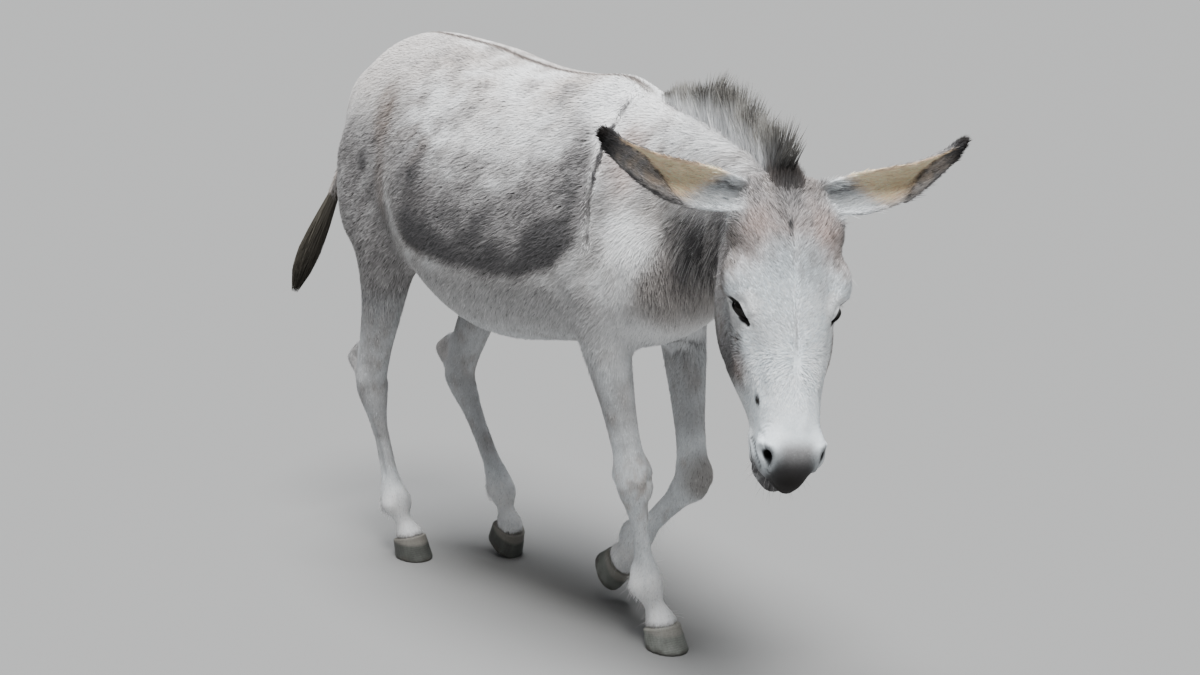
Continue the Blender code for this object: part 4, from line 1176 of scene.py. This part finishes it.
# ---------------------------------------------------------------- hair
BAKE = "OFBake"
PATCH = 0.003
ROOT_DEPTH = 0.001


def finish_hair(name, points, triangles, colours, unwrap, slot, nodes=()):
    """Hair as one painted piece, laid out for its bake like the skin it stands on."""
    obj = make_object(name, points, triangles)
    paint_points(obj, colours)
    layer = obj.data.uv_layers.new(name=BAKE)
    layer.data.foreach_set("uv", unwrap[triangles.ravel()].astype(np.float32).ravel())
    hand_over(obj, slot, nodes)


def tufts(name, roots, ways, length, width, lift, colours, contrast):
    """Flat pointed locks of four triangles, each lying along the skin with its tip just off it."""
    count = len(roots)
    length, width, lift = (np.broadcast_to(value, count)[:, None] for value in (length, width, lift))
    across = np.cross(roots.normals, ways)
    start = roots.points - roots.normals * width * 0.5
    middle = roots.points + ways * length * 0.32 + roots.normals * (lift * 0.1 - width * 0.1)
    tip = roots.points + ways * length + roots.normals * lift
    corners = np.stack((start, middle + across * width / 2, middle - across * width / 2, tip), 1)
    base = 4 * np.arange(count)[:, None, None]
    faces = base + np.array(((0, 3, 1), (0, 2, 3), (0, 1, 2), (1, 3, 2)))
    shade = 1 + contrast * rng.normal(size=(count, 1, 1))
    steps = np.array((0.7, 0.98, 0.98, 1.14))[None, :, None]
    begin, end = colours[:, 0, None], colours[:, 1, None]
    between = 0.6 * begin + 0.4 * end
    paint = np.clip(np.concatenate((begin, between, between, end), 1) * shade * steps, 0.003, 0.95)
    spots = np.array(((0, -0.5), (0.35, 0), (-0.35, 0), (0, 0.5))) * PATCH
    unwrap = roots.unwrap[:, None, :] + spots
    finish_hair(name, corners.reshape(-1, 3), faces.reshape(-1, 3), paint.reshape(-1, 3),
                unwrap.reshape(-1, 2), "coat")


def strands(name, roots, curves, width, colours, slot, nodes=()):
    """Long tapering hairs of three sides; curves holds the points along each, colours the colour at each."""
    count, levels, _ = curves.shape
    colours = np.broadcast_to(colours, curves.shape)
    ahead = unit(np.gradient(curves, axis=1))
    side = unit(np.cross(ahead, rng.normal(size=(count, 1, 3))))
    other = np.cross(ahead, side)
    taper = np.clip(1.05 - np.linspace(0, 1, levels) ** 1.6, 0.05, 1)[None, :, None]
    half = np.broadcast_to(width, count)[:, None, None] * taper / 2
    corners = [curves + half * (side * math.cos(t) + other * math.sin(t)) for t in (0.5, 2.6, 4.7)]
    rings = np.stack(corners, 2)
    rings[:, -1] = curves[:, -1:, :]
    faces = [(0, 1, 2)]
    for k in range(levels - 1):
        for i in range(3):
            a, b = 3 * k + i, 3 * k + (i + 1) % 3
            faces.append((a, a + 3, b))
            if k < levels - 2:
                faces.append((b, a + 3, b + 3))
    faces = np.array(faces)[None] + (3 * levels * np.arange(count))[:, None, None]
    paint = np.clip(np.repeat(colours, 3, axis=1).reshape(-1, 3), 0.003, 0.95)
    spots = PATCH * np.stack(np.meshgrid((-0.5, 0, 0.5), np.linspace(-0.5, 0.5, levels)), -1)
    unwrap = roots.unwrap[:, None, None, :] + spots[None]
    finish_hair(name, rings.reshape(-1, 3), faces.reshape(-1, 3), paint, unwrap.reshape(-1, 2), slot, nodes)


def curved(roots, ways, length, bend, levels):
    """Points along hairs that start one way and bend by a vector towards their tips."""
    part = np.linspace(0, 1, levels)[None, :, None]
    length = np.broadcast_to(length, len(roots))[:, None, None]
    bend = np.broadcast_to(bend, ways.shape)[:, None]
    start = roots.points[:, None] - roots.normals[:, None] * ROOT_DEPTH
    return start + length * (ways[:, None] * part + bend * part ** 2)


# ---------------------------------------------------------------- materials
def new_material(name):
    material = bpy.data.materials.new(name)
    material.use_nodes = True
    return material, material.node_tree.nodes["Principled BSDF"]


def fill(tree, node, inputs):
    """Sets a node's inputs to values, or links them to the outputs of other nodes."""
    for name, value in inputs.items():
        if isinstance(value, bpy.types.NodeSocket):
            tree.links.new(value, node.inputs[name])
        else:
            node.inputs[name].default_value = value
    return node


def node_of(material, kind, inputs, **settings):
    node = material.node_tree.nodes.new("ShaderNode" + kind)
    for name, value in settings.items():
        setattr(node, name, value)
    return fill(material.node_tree, node, inputs)


def hair_material(name, spread, roughness, grain=None):
    """Painted colour, with a fine unevenness in tone and gloss; grain is a bump's scale and strength."""
    material, shader = new_material(name)
    place = node_of(material, "TexCoord", {}).outputs["Object"]
    paint = node_of(material, "Attribute", {}, attribute_name=PAINT)
    speck = node_of(material, "TexNoise", {"Vector": place, "Scale": 260, "Detail": 3}).outputs["Fac"]
    tone = node_of(material, "MapRange", {"Value": speck, "From Min": 0.3, "From Max": 0.7,
                                          "To Min": 1 - spread, "To Max": 1 + spread})
    gloss = node_of(material, "MapRange", {"Value": speck, "To Min": roughness - 0.08,
                                           "To Max": roughness + 0.08})
    scaled = {0: paint.outputs["Color"], "Scale": tone.outputs["Result"]}
    mixed = node_of(material, "VectorMath", scaled, operation="SCALE")
    fill(material.node_tree, shader, {"Base Color": mixed.outputs["Vector"],
                                      "Roughness": gloss.outputs["Result"], "Specular IOR Level": 0.25})
    if grain:
        scale, strength = grain
        bumps = node_of(material, "TexNoise", {"Vector": place, "Scale": scale, "Detail": 4})
        raised = node_of(material, "Bump", {"Height": bumps.outputs["Fac"], "Strength": strength,
                                            "Distance": 0.001})
        fill(material.node_tree, shader, {"Normal": raised.outputs["Normal"]})
    return material


def eye_material():
    """Nearly black, wet, with a faint brown unevenness."""
    material, shader = new_material("eye")
    place = node_of(material, "TexCoord", {}).outputs["Object"]
    speck = node_of(material, "TexNoise", {"Vector": place, "Scale": 90})
    tone = node_of(material, "ValToRGB", {"Fac": speck.outputs["Fac"]})
    tone.color_ramp.elements[0].color = (0.0025, 0.002, 0.002, 1)
    tone.color_ramp.elements[1].color = (0.008, 0.0055, 0.004, 1)
    fill(material.node_tree, shader, {"Base Color": tone.outputs["Color"], "Roughness": 0.1,
                                      "Specular IOR Level": 0.22})
    return material


MATERIALS = {
    "skin": hair_material("skin", 0.06, 0.8, (900, 0.5)),
    "coat": hair_material("coat", 0.05, 0.72),
    "ear": hair_material("ear", 0.05, 0.75),
    "mane": hair_material("mane", 0.06, 0.6),
    "tail_hair": hair_material("tail_hair", 0.06, 0.6),
    "horn": hair_material("horn", 0.1, 0.55, (300, 0.35)),
    "eye": eye_material(),
}


# ---------------------------------------------------------------- the animal
def unwrap_skin(skin):
    bpy.context.view_layer.objects.active = skin
    for obj in bpy.context.view_layer.objects:
        obj.select_set(obj == skin)
    skin.data.uv_layers.new(name=BAKE)
    bpy.ops.object.mode_set(mode="EDIT")
    bpy.ops.mesh.select_all(action="SELECT")
    bpy.ops.uv.smart_project(angle_limit=1.15, island_margin=0.001)
    bpy.ops.object.mode_set(mode="OBJECT")


skin = build_skin()
sculpt(skin)
unwrap_skin(skin)
paint_points(skin, coat_colours(*arrays_of(skin)))
skin.data.shade_smooth()
hand_over(skin, "skin", FLESH + EARS)
TRIANGLES = skin_triangles(skin)


def bare(points):
    """1 where no hair stands: between the lids, in the nostrils, between the lips."""
    local = mirrored(points)
    near = np.linalg.norm(local - EYE_PLACE, axis=1) < 0.036
    far, _ = round_nostril(local)
    above, mouth = mouth_line(local)
    wedges = [fade(wedge, 1.0, 1.35) for wedge in eye_wedges(local)]
    return np.maximum.reduce((near * ramp(from_lids(local), -0.0036, -0.0024), *wedges,
                              fade(far, 1.1, 1.4), mouth * fade(np.abs(above), 0.0022, 0.0035)))


# ---------------------------------------------------------------- coat
def leg_share(points):
    return fade(points[:, 2], 0.56, 0.66)


def body_density(points, normals):
    body = (1 - np.maximum(*shares(points))) * (1 - leg_share(points))
    return 82000 * body * (1 + 0.35 * ramp(-points[:, 1], 0.4, 0.5))


def leg_density(points, normals):
    """None under the hooves, and none on the muzzle, which hangs as low as the legs."""
    return 96000 * leg_share(points) * ramp(points[:, 2], 0.03, 0.045) * (1 - shares(points)[1])


def head_density(points, normals):
    ear, head = shares(points)
    muzzle = ramp(to_head(points)[:, 0], 0.36, 0.44)
    return 215000 * head * (1 - ear) * (1 - bare(points)) * (1 + 0.8 * muzzle)


def ear_density(points, normals):
    return 200000 * shares(points)[0]


def body_lock(points):
    neck = ramp(-points[:, 1], 0.42, 0.5)
    belly = fade(points[:, 2], 0.66, 0.74)
    beside = 1 - 0.55 * fade(from_stripe(points)[0], 0.008, 0.024)
    return (0.0165 + 0.007 * neck + 0.004 * belly) * beside, 0.002, 0.0032 + 0.003 * neck


def leg_lock(points):
    return 0.0095, 0.0013, 0.0012


def head_lock(points):
    local = mirrored(points)
    fine = ramp(local[:, 0], 0.31, 0.43)
    crown = fade(local[:, 0], 0.06, 0.16)
    jaw = ramp(-local[:, 2], 0.11, 0.17)
    lips = fade(np.abs(mouth_line(local)[0]), 0.008, 0.024) * ramp(local[:, 0], 0.385, 0.4)
    eye = fade(np.linalg.norm(local - EYE_PLACE, axis=1), 0.026, 0.046)
    length = 0.0105 - 0.0082 * fine + 0.004 * crown + 0.003 * jaw * (1 - fine)
    lift = 0.0022 - 0.002 * fine + 0.0012 * crown
    return length * (1 - 0.45 * lips) * (1 - 0.55 * eye), 0.0017 - 0.001 * fine, lift * (1 - 0.4 * eye)


def ear_lock(points):
    return 0.009 + 0.004 * ramp(ear_frame(points)[0], 0.8, 1), 0.0013, 0.0012


# Each part's name, tufts to the square metre, their length, width and lift, and how pale they are; the ears'
# tufts are painted lighter than their colour, painted light for the light through the ear.
COAT_PARTS = (("body", body_density, body_lock, 1), ("leg", leg_density, leg_lock, 1),
              ("head", head_density, head_lock, 1), ("ear", ear_density, ear_lock, 1.12))
MOST_TUFTS = 45000


def coat():
    """Short tufts all over, in pieces by part of the body."""
    for name, density, lock, pale in COAT_PARTS:
        roots = scatter(density)
        roots = roots[rng.permutation(len(roots))]
        points = roots.points
        ways = laid_flat(lie_of_coat(points) + 0.16 * rng.normal(size=points.shape), roots.normals)
        size = 0.75 + 0.5 * rng.random(len(roots))
        length, width, lift = (np.broadcast_to(value, len(roots)) for value in lock(points))
        length, width = length * size, width * size
        ends = points + ways * length[:, None] * 0.9
        colours = np.stack([coat_colours(places, roots.normals) for places in (points, ends)], 1) * pale
        contrast = 0.15 + 0.24 * bell(colours.mean((1, 2)), 0.25, 0.18)[:, None, None]
        kept = np.flatnonzero(bare(ends) < 0.5)
        pieces = max(1, math.ceil(len(kept) / MOST_TUFTS))
        for k in range(pieces):
            these = kept[k::pieces]
            tufts(f"coat_{name}_{k + 1}", roots[these], ways[these], length[these], width[these],
                  lift[these], colours[these], contrast[these])


coat()


# ---------------------------------------------------------------- mane, tail and other long hair
MANE = np.array((
    (0.0, -0.385, 1.106), (-0.004, -0.436, 1.084), (-0.016, -0.5, 1.072), (-0.038, -0.565, 1.062),
    (-0.068, -0.635, 1.052), (-0.104, -0.705, 1.044), (-0.138, -0.768, 1.03), (-0.166, -0.822, 1.008),
    (-0.188, -0.866, 0.975)))
MANE_HEIGHT = np.array((0.012, 0.052, 0.082, 0.096, 0.09, 0.083, 0.08, 0.072, 0.02))


def mane():
    """Upright hair along the crest, in clumps, dark at the poll."""
    def density(points, normals):
        far, _ = from_line(points, MANE)
        return fade(far, 0.014, 0.02) * fade(to_head(points)[:, 0], -0.018, -0.004) * 150000

    levels = 5
    roots = scatter(density)
    points = roots.points
    _, along = from_line(points, MANE)
    height = np.interp(along, np.linspace(0, 1, len(MANE)), MANE_HEIGHT)
    clump = noise(points * (0.4, 1, 1), 0.02, 141)
    length = height * (0.66 + 0.34 * clump + 0.26 * rng.random(len(roots))) + 0.012
    fan = (points - on_line(MANE, along)) * np.array((8, 0, 0))
    poll = ramp(along, 0.8, 0.95)
    lean = np.stack((0.1 * noise(points, 0.03, 142) - 0.1 * poll,
                     0.34 * noise(points, 0.02, 143) - 0.3 * poll, np.ones(len(roots))), 1)
    ways = unit(lean + fan + 0.09 * rng.normal(size=points.shape))
    bend = 0.22 * np.stack((noise(points, 0.02, 144), noise(points, 0.02, 145) - 0.3, 0 * clump - 0.2), 1)
    curves = curved(roots, ways, length, bend, levels)
    dark = ramp(along + 0.02 * clump, 0.74, 0.88)[:, None, None]
    streak = noise(points * (0.4, 1, 1), 0.017, 146) + 0.35 * rng.normal(size=len(roots))
    streak = ramp(streak, -0.4, 0.4)[:, None, None]
    root_colour = WHITE * (1 - dark) + BLACK * dark
    tip_colour = (rgb(0.68, 0.67, 0.65) * (1 - streak) + rgb(0.34, 0.33, 0.32) * streak) * (1 - 0.72 * dark)
    mix = ramp(np.linspace(0, 1, levels)[None, :, None], 0.3, 0.75)
    colours = (root_colour * (1 - mix) + tip_colour * mix) * (1 + 0.12 * rng.normal(size=(len(roots), 1, 1)))
    width = 0.0019 * (0.7 + 0.6 * rng.random(len(roots)))
    strands("mane_hair", roots, curves, width, colours, "mane", ("mane",))


TAIL = np.array(((-0.072, 0.612, 0.83), (-0.0845, 0.6183, 0.7992), (-0.11, 0.628, 0.745),
                 (-0.134, 0.64, 0.69), (-0.154, 0.65, 0.64), (-0.168, 0.658, 0.598)))
TAIL_RADIUS = np.array((0.014, 0.018, 0.026, 0.03, 0.024, 0.008))


def tail():
    """A bundle of hair round the line of the tail, pale outside, with painted shade darkening the hairs
    within and those on the side towards the buttock.
    """
    count = 2400
    levels = 7
    steps = np.linspace(0, 1, levels)[None]
    start = rng.random(count) ** 1.5 * 0.55
    stop = np.clip(0.7 + 0.34 * rng.random(count), 0, 1.02)
    angle = rng.random(count) * 2 * math.pi
    reach = np.sqrt(rng.random(count)) * 0.92
    wander_round = 0.35 * rng.normal(size=count)
    part = start[:, None] + (stop - start)[:, None] * steps
    beyond = np.maximum(part - 1, 0)[:, :, None]
    axis = on_line(TAIL, part) + beyond * (TAIL[-1] - TAIL[-2]) * 5
    radius = np.interp(part, np.linspace(0, 1, len(TAIL)), TAIL_RADIUS)
    radius = radius * reach[:, None] * np.linspace(0.75, 1, levels)[None]
    turned = angle[:, None] + wander_round[:, None] * steps
    down = unit(TAIL[-1] - TAIL[0])
    side = unit(np.cross(down, (0, 1.0, 0)))
    other = np.cross(down, side)
    turned = turned[:, :, None]
    curves = axis + radius[:, :, None] * (side * np.cos(turned) + other * np.sin(turned))
    nearest = scatter(lambda points, normals: ramp(points[:, 1], 0.57, 0.6) * 200000, 1)
    picked = rng.integers(0, len(nearest), count)
    roots = Roots(curves[:, 0], np.repeat(down[None], count, 0), nearest.unwrap[picked])
    # Painted shade: hairs on the side towards the buttock, and those near the middle of the bundle, are
    # darker.
    front = ramp(-np.sin(angle) * other[1] * reach, 0.0, 0.6)[:, None, None]
    pale, dark = rgb(0.31, 0.295, 0.265), rgb(0.16, 0.15, 0.135)
    streak = rng.random((count, 1, 1))
    inner = fade(reach, 0.45, 0.8)[:, None, None]
    mix = np.clip(0.55 * inner + 0.25 * streak + 0.5 * front, 0, 1)
    colours = (pale * (1 - mix) + dark * mix) * (1 + 0.12 * rng.normal(size=(count, 1, 1)))
    strands("tail_hair", roots, curves, 0.0022, colours, "tail_hair", ("tail_switch",))


def add_hair(name, density, way, length, width, bend=(0, 0, 0), slot="coat", dark=0.0):
    """Hairs coloured as the coat below them; way gives their direction, dark how much their tips darken."""
    levels = 4
    roots = scatter(density)
    if not len(roots):
        return
    points = roots.points
    ways = unit(way(roots) + 0.12 * rng.normal(size=points.shape))
    size = 0.65 + 0.6 * rng.random(len(roots))
    curves = curved(roots, ways, (length(points) if callable(length) else length) * size, bend, levels)
    shade = 1 + 0.22 * rng.normal(size=(len(roots), 1, 1))
    steps = np.linspace(0.85, 1.1 - dark, levels)[None, :, None]
    colours = coat_colours(points, roots.normals)[:, None] * shade * steps
    strands(name, roots, curves, width * (0.7 + 0.6 * rng.random(len(roots))), colours, slot)


def throat_density(points, normals):
    y, z = points[:, 1], points[:, 2]
    low = fade(y, -0.52, -0.47) * fade(z + 0.25 * (y + 0.5), 0.88, 0.93) * ramp(z, 0.745, 0.8)
    return 26000 * low * fade(np.maximum(*shares(points)), 0.0, 0.35) * fade(normals[:, 2], 0.1, 0.5)


def throat_length(points):
    return 0.026 + 0.016 * fade(points[:, 2], 0.84, 0.92)


def hanging(roots):
    return laid_flat(lie_of_coat(roots.points), roots.normals) * 0.8 + roots.normals * 0.35 + (0, 0.15, -0.5)


def ear_tip_density(points, normals):
    return 420000 * shares(points)[0] * ramp(ear_frame(points)[0], 0.86, 0.95)


def ear_rim_density(points, normals):
    part, _, _, place = ear_frame(points)
    return 140000 * shares(points)[0] * ramp(np.abs(place), 0.78, 0.95) * fade(part, 0.84, 0.9)


def ear_inner_density(points, normals):
    part, _, mouth, _ = ear_frame(points)
    return 60000 * shares(points)[0] * ramp((normals * mouth).sum(1), 0.1, 0.5) * fade(part, 0.55, 0.75)


def out_of_ear(roots):
    return ear_frame(roots.points)[1] + 0.3 * roots.normals


def crown_density(points, normals):
    a, b, c = to_head(points).T
    crown = span(a, -0.045, -0.02, -0.004, 0.022) * ramp(c, -0.07, -0.03)
    return 420000 * fade(np.abs(b), 0.016, 0.03) * crown


def stripe_density(points, normals):
    z = points[:, 2]
    near = (from_stripe(points)[0] < 0.002) * (z > 0.8) * (z < 1.092)
    return 420000 * near * fade(shares(points)[1], 0, 0.1)


def stripe_tufts():
    """Dark tufts along the stripe over the shoulder."""
    path = np.array(SHOULDER_STRIPE)
    roots = scatter(stripe_density)
    _, along = from_stripe(roots.points)
    steps = np.diff(path, axis=0)[np.clip(along * (len(path) - 1), 0, len(path) - 2).astype(int)]
    ways = laid_flat(steps * np.where(roots.points[:, :1] > 0, (-1, 1, 1), 1), roots.normals)
    ways = unit(ways + 0.1 * rng.normal(size=ways.shape))
    tint = np.broadcast_to(DARK * 0.95, (len(roots), 2, 3)) * (1 + 0.35 * along[:, None, None])
    tufts("coat_stripe", roots, ways, 0.012, 0.0012, 0.003, tint, 0.2)


FETLOCKS = {"right_fore": (-0.01, -0.312, 0.118), "left_fore": (0.076, -0.205, 0.19),
            "right_hind": (-0.074, 0.452, 0.118), "left_hind": (0.122, 0.305, 0.15)}


def long_coat():
    """Hair that hangs or stands out: throat, ears, crown, shoulder's stripe and fetlocks."""
    add_hair("hair_throat", throat_density, hanging, throat_length, 0.0014, (0, 0.05, -0.3))
    add_hair("hair_ear_tip", ear_tip_density, lambda roots: out_of_ear(roots) + 0.05 * roots.normals,
             0.013, 0.0011, (0, 0, 0.05), "ear")
    add_hair("hair_ear_rim", ear_rim_density, out_of_ear, 0.0075, 0.0009, slot="ear")
    add_hair("hair_ear_inner", ear_inner_density, out_of_ear, 0.02, 0.0009, slot="ear")
    add_hair("hair_crown", crown_density, lambda roots: 0.9 * roots.normals + (0, 0, 0.5) - 0.3 * HEAD[0],
             0.02, 0.0013, (0, 0, 0.1), "mane", 0.3)
    stripe_tufts()
    for name, place in FETLOCKS.items():
        add_hair("hair_fetlock_" + name,
                 lambda points, normals, place=place: 150000 * blob(points, place, (0.035, 0.03, 0.04)),
                 lambda roots: np.array((0, 0.35, -1.0)) + 0.25 * roots.normals, 0.015, 0.0011)


# The middle of the top of each hoof, how far its sole is tilted back, in degrees, and how pale its horn is
# painted: its own tone, with painted shade on the right hind.
HOOVES = {
    "right_fore": ((-0.003, -0.368, 0.046), 0, 1.0),
    "left_fore": ((0.082, -0.158, 0.106), 68, 0.85),
    "right_hind": ((-0.056, 0.402, 0.046), 0, 0.36),
    "left_hind": ((0.11, 0.246, 0.069), 36, 0.5),
}


def coronet_density(points, normals):
    far = np.min([np.linalg.norm(points - top, axis=1) for top, _, _ in HOOVES.values()], axis=0)
    return 110000 * fade(points[:, 2], 0.11, 0.125) * fade(far, 0.046, 0.056)


def coronets():
    """A fringe of pale hair over the top of each hoof."""
    roots = scatter(coronet_density)
    points = roots.points
    ways = laid_flat(lie_of_coat(points), roots.normals)
    ways = unit(ways + 0.12 * rng.normal(size=points.shape) + 0.1 * roots.normals)
    colours = coat_colours(points, roots.normals)[:, None] * 0.95
    curves = curved(roots, ways, 0.012 * (0.6 + 0.6 * rng.random(len(roots))), (0, 0, 0), 3)
    strands("hair_coronet", roots, curves, 0.0012, colours, "coat")


def lashes():
    """Lashes along the upper lids."""
    starts, ways, lengths = [], [], []
    for side in (-1, 1):
        turn = np.array((1, side, 1))
        for k in range(16):
            round_it = math.radians(-44 + 88 * k / 15) + 0.02 * rng.normal()
            part = round_it / EYE_HALF_LENGTH
            height = EYE_LIDS[0] * math.sqrt(1 - part ** 2) * (1 - 0.12 * part)
            out = EYE.T @ (math.sin(round_it), math.sin(height) * math.cos(round_it),
                           math.cos(height) * math.cos(round_it))
            way = EYE.T @ (0.5 * part + 0.15 * rng.normal(), 0.15, 1.0)
            starts.append(from_head((EYE_PLACE + out * (EYE_RADIUS + LID)) * turn))
            ways.append(unit(way * turn) @ HEAD)
            lengths.append(0.005 + 0.003 * rng.random())
    starts, ways = np.array(starts), np.array(ways)
    eye = from_head(EYE_PLACE * (1, -1, 1))
    at_eye = scatter(lambda points, normals: 20000 * blob(points, eye, (0.05, 0.05, 0.05)), 1)
    roots = Roots(starts, np.zeros_like(starts), np.repeat(at_eye.unwrap[:1], len(starts), 0))
    strands("lashes", roots, curved(roots, ways, lengths, HEAD[0] * 0.25, 4), 0.00035, BLACK * 0.15, "coat")


def whisker_density(points, normals):
    local = mirrored(points)
    lips = ramp(local[:, 0], 0.425, 0.45) * ramp(-local[:, 2], 0.085, 0.105)
    return 3000 * lips + 3000 * blob(local, (0.165, 0.098, -0.045), (0.03, 0.03, 0.03))


def whiskers():
    """Long hairs on the lips and over the eyes."""
    roots = scatter(whisker_density, 1)
    ways = unit(roots.normals + 0.45 * HEAD[0] + 0.25 * rng.normal(size=roots.points.shape))
    curves = curved(roots, ways, 0.016 + 0.012 * rng.random(len(roots)), (0, 0, -0.25), 5)
    strands("whiskers", roots, curves, 0.00045, PALE, "coat")


mane()
tail()
long_coat()
coronets()
lashes()
whiskers()


# ---------------------------------------------------------------- eyes and hooves
def eyes():
    for name, side in (("right", -1), ("left", 1)):
        ball = bmesh.new()
        add_ball(ball, side, EYE_RADIUS, 64, 40)
        obj = as_object("eyeball_" + name, ball)
        obj.data.shade_smooth()
        hand_over(obj, "eye", ("eye_" + name,))


HORN_VOXEL = 0.0019
RING_STEP, FINE_RING_STEP = 0.0047, 0.0021


def hooves():
    """Horn with rings parallel to its top, worn at the ground, with dirt on its lower edge."""
    for name, (top, tilt, pale) in HOOVES.items():
        mesh = bmesh.new()
        mesh.from_mesh(frame["nodes"]["hoof_" + name].data)
        horn = remeshed(as_object("horn_" + name, mesh), HORN_VOXEL)
        smooth_points(horn, np.ones(len(horn.data.vertices)), 3)
        points, normals = arrays_of(horn)
        angle = math.radians(tilt)
        up = np.array((0, -math.sin(angle), math.cos(angle)))
        toe = np.array((0, -math.cos(angle), -math.sin(angle)))
        height = (points - top) @ up
        ring = height - 0.25 * ((points - top) @ toe)
        wave = np.sin(ring / RING_STEP * 2 * math.pi + 1.4 * noise(points, 0.02, 151))
        wave += 0.6 * np.sin(ring / FINE_RING_STEP * 2 * math.pi)
        wall = fade(np.abs(normals @ up), 0.5, 0.8)
        worn = fade(height, -0.046, -0.034) * ramp(noise(points * (1, 1, 0.3), 0.007, 155), 0.1, 0.7)
        relief = wall * (0.00028 * wave + 0.0003 * noise(points, 0.006, 153) - 0.0011 * worn)
        points += normals * relief[:, None]
        set_points(horn, points)
        # The horn's tone times its paleness, which on the right hind holds painted shade.
        paint = Paint(rgb(0.5, 0.51, 0.49) * pale, len(points))
        paint.colours *= (1 + 0.1 * wave + 0.22 * noise(points * (1, 1, 0.4), 0.012, 157))[:, None]
        paint.lay(rgb(0.62, 0.6, 0.57), ramp(height, -0.014, -0.004) * 0.5)
        dirt = ramp(-height + 0.01 * noise(points, 0.012, 159), 0.032, 0.044)
        paint.lay(rgb(0.32, 0.31, 0.29), dirt * 0.7)
        paint_points(horn, np.clip(paint.colours, 0.01, 0.9))
        horn.data.shade_smooth()
        hand_over(horn, "horn", ("hoof_" + name,))


eyes()
hooves()


# ---------------------------------------------------------------- studio
# Each lamp's way towards it, how wide it is, in degrees, how strong, and its colour.
LAMPS = {
    "key": ((-1.1, -1.9, 4.0), 18, 2.8, (1.0, 0.99, 0.97)),
    "top": ((-0.3, 0.3, 4.5), 32, 6.8, (0.97, 0.985, 1.0)),
}


def studio():
    floor_mesh = bmesh.new()
    bmesh.ops.create_grid(floor_mesh, x_segments=1, y_segments=1, size=90)
    floor = as_object("floor", floor_mesh)
    paper, shader = new_material("floor")
    fill(paper.node_tree, shader, {"Base Color": (0.22, 0.22, 0.218, 1), "Roughness": 0.9})
    floor.data.materials.append(paper)
    world = bpy.data.worlds.new("studio")
    world.use_nodes = True
    sky = world.node_tree.nodes["Background"]
    fill(world.node_tree, sky, {"Color": (0.93, 0.96, 1.0, 1), "Strength": 0.14})
    bpy.context.scene.world = world
    for name, (way, spread, power, tint) in LAMPS.items():
        lamp = bpy.data.lights.new(name, "SUN")
        lamp.angle = math.radians(spread)
        lamp.energy = power
        lamp.color = tint
        linked(name, lamp).rotation_euler = Vector(way).to_track_quat("Z", "Y").to_euler()


CAMERA_PLACE = (-2.405, -2.833, 1.479)
CAMERA_AZIMUTH, CAMERA_PITCH, CAMERA_ROLL = (math.radians(t) for t in (-42.28, 13.72, -0.48))
CAMERA_LENS = 55.146


def camera():
    ahead = Vector((-math.sin(CAMERA_AZIMUTH) * math.cos(CAMERA_PITCH),
                    math.cos(CAMERA_AZIMUTH) * math.cos(CAMERA_PITCH), -math.sin(CAMERA_PITCH)))
    right = ahead.cross(Vector((0, 0, 1))).normalized()
    up = right.cross(ahead)
    turn, tilt = math.cos(CAMERA_ROLL), math.sin(CAMERA_ROLL)
    right, up = right * turn + up * tilt, up * turn - right * tilt
    data = bpy.data.cameras.new("camera")
    data.sensor_width = 36
    data.lens = CAMERA_LENS
    obj = linked("camera", data)
    place = Vector(CAMERA_PLACE) + Vector(SHIFT)
    obj.matrix_world = Matrix.Translation(place) @ Matrix((right, up, -ahead)).transposed().to_4x4()
    bpy.context.scene.camera = obj


studio()
camera()
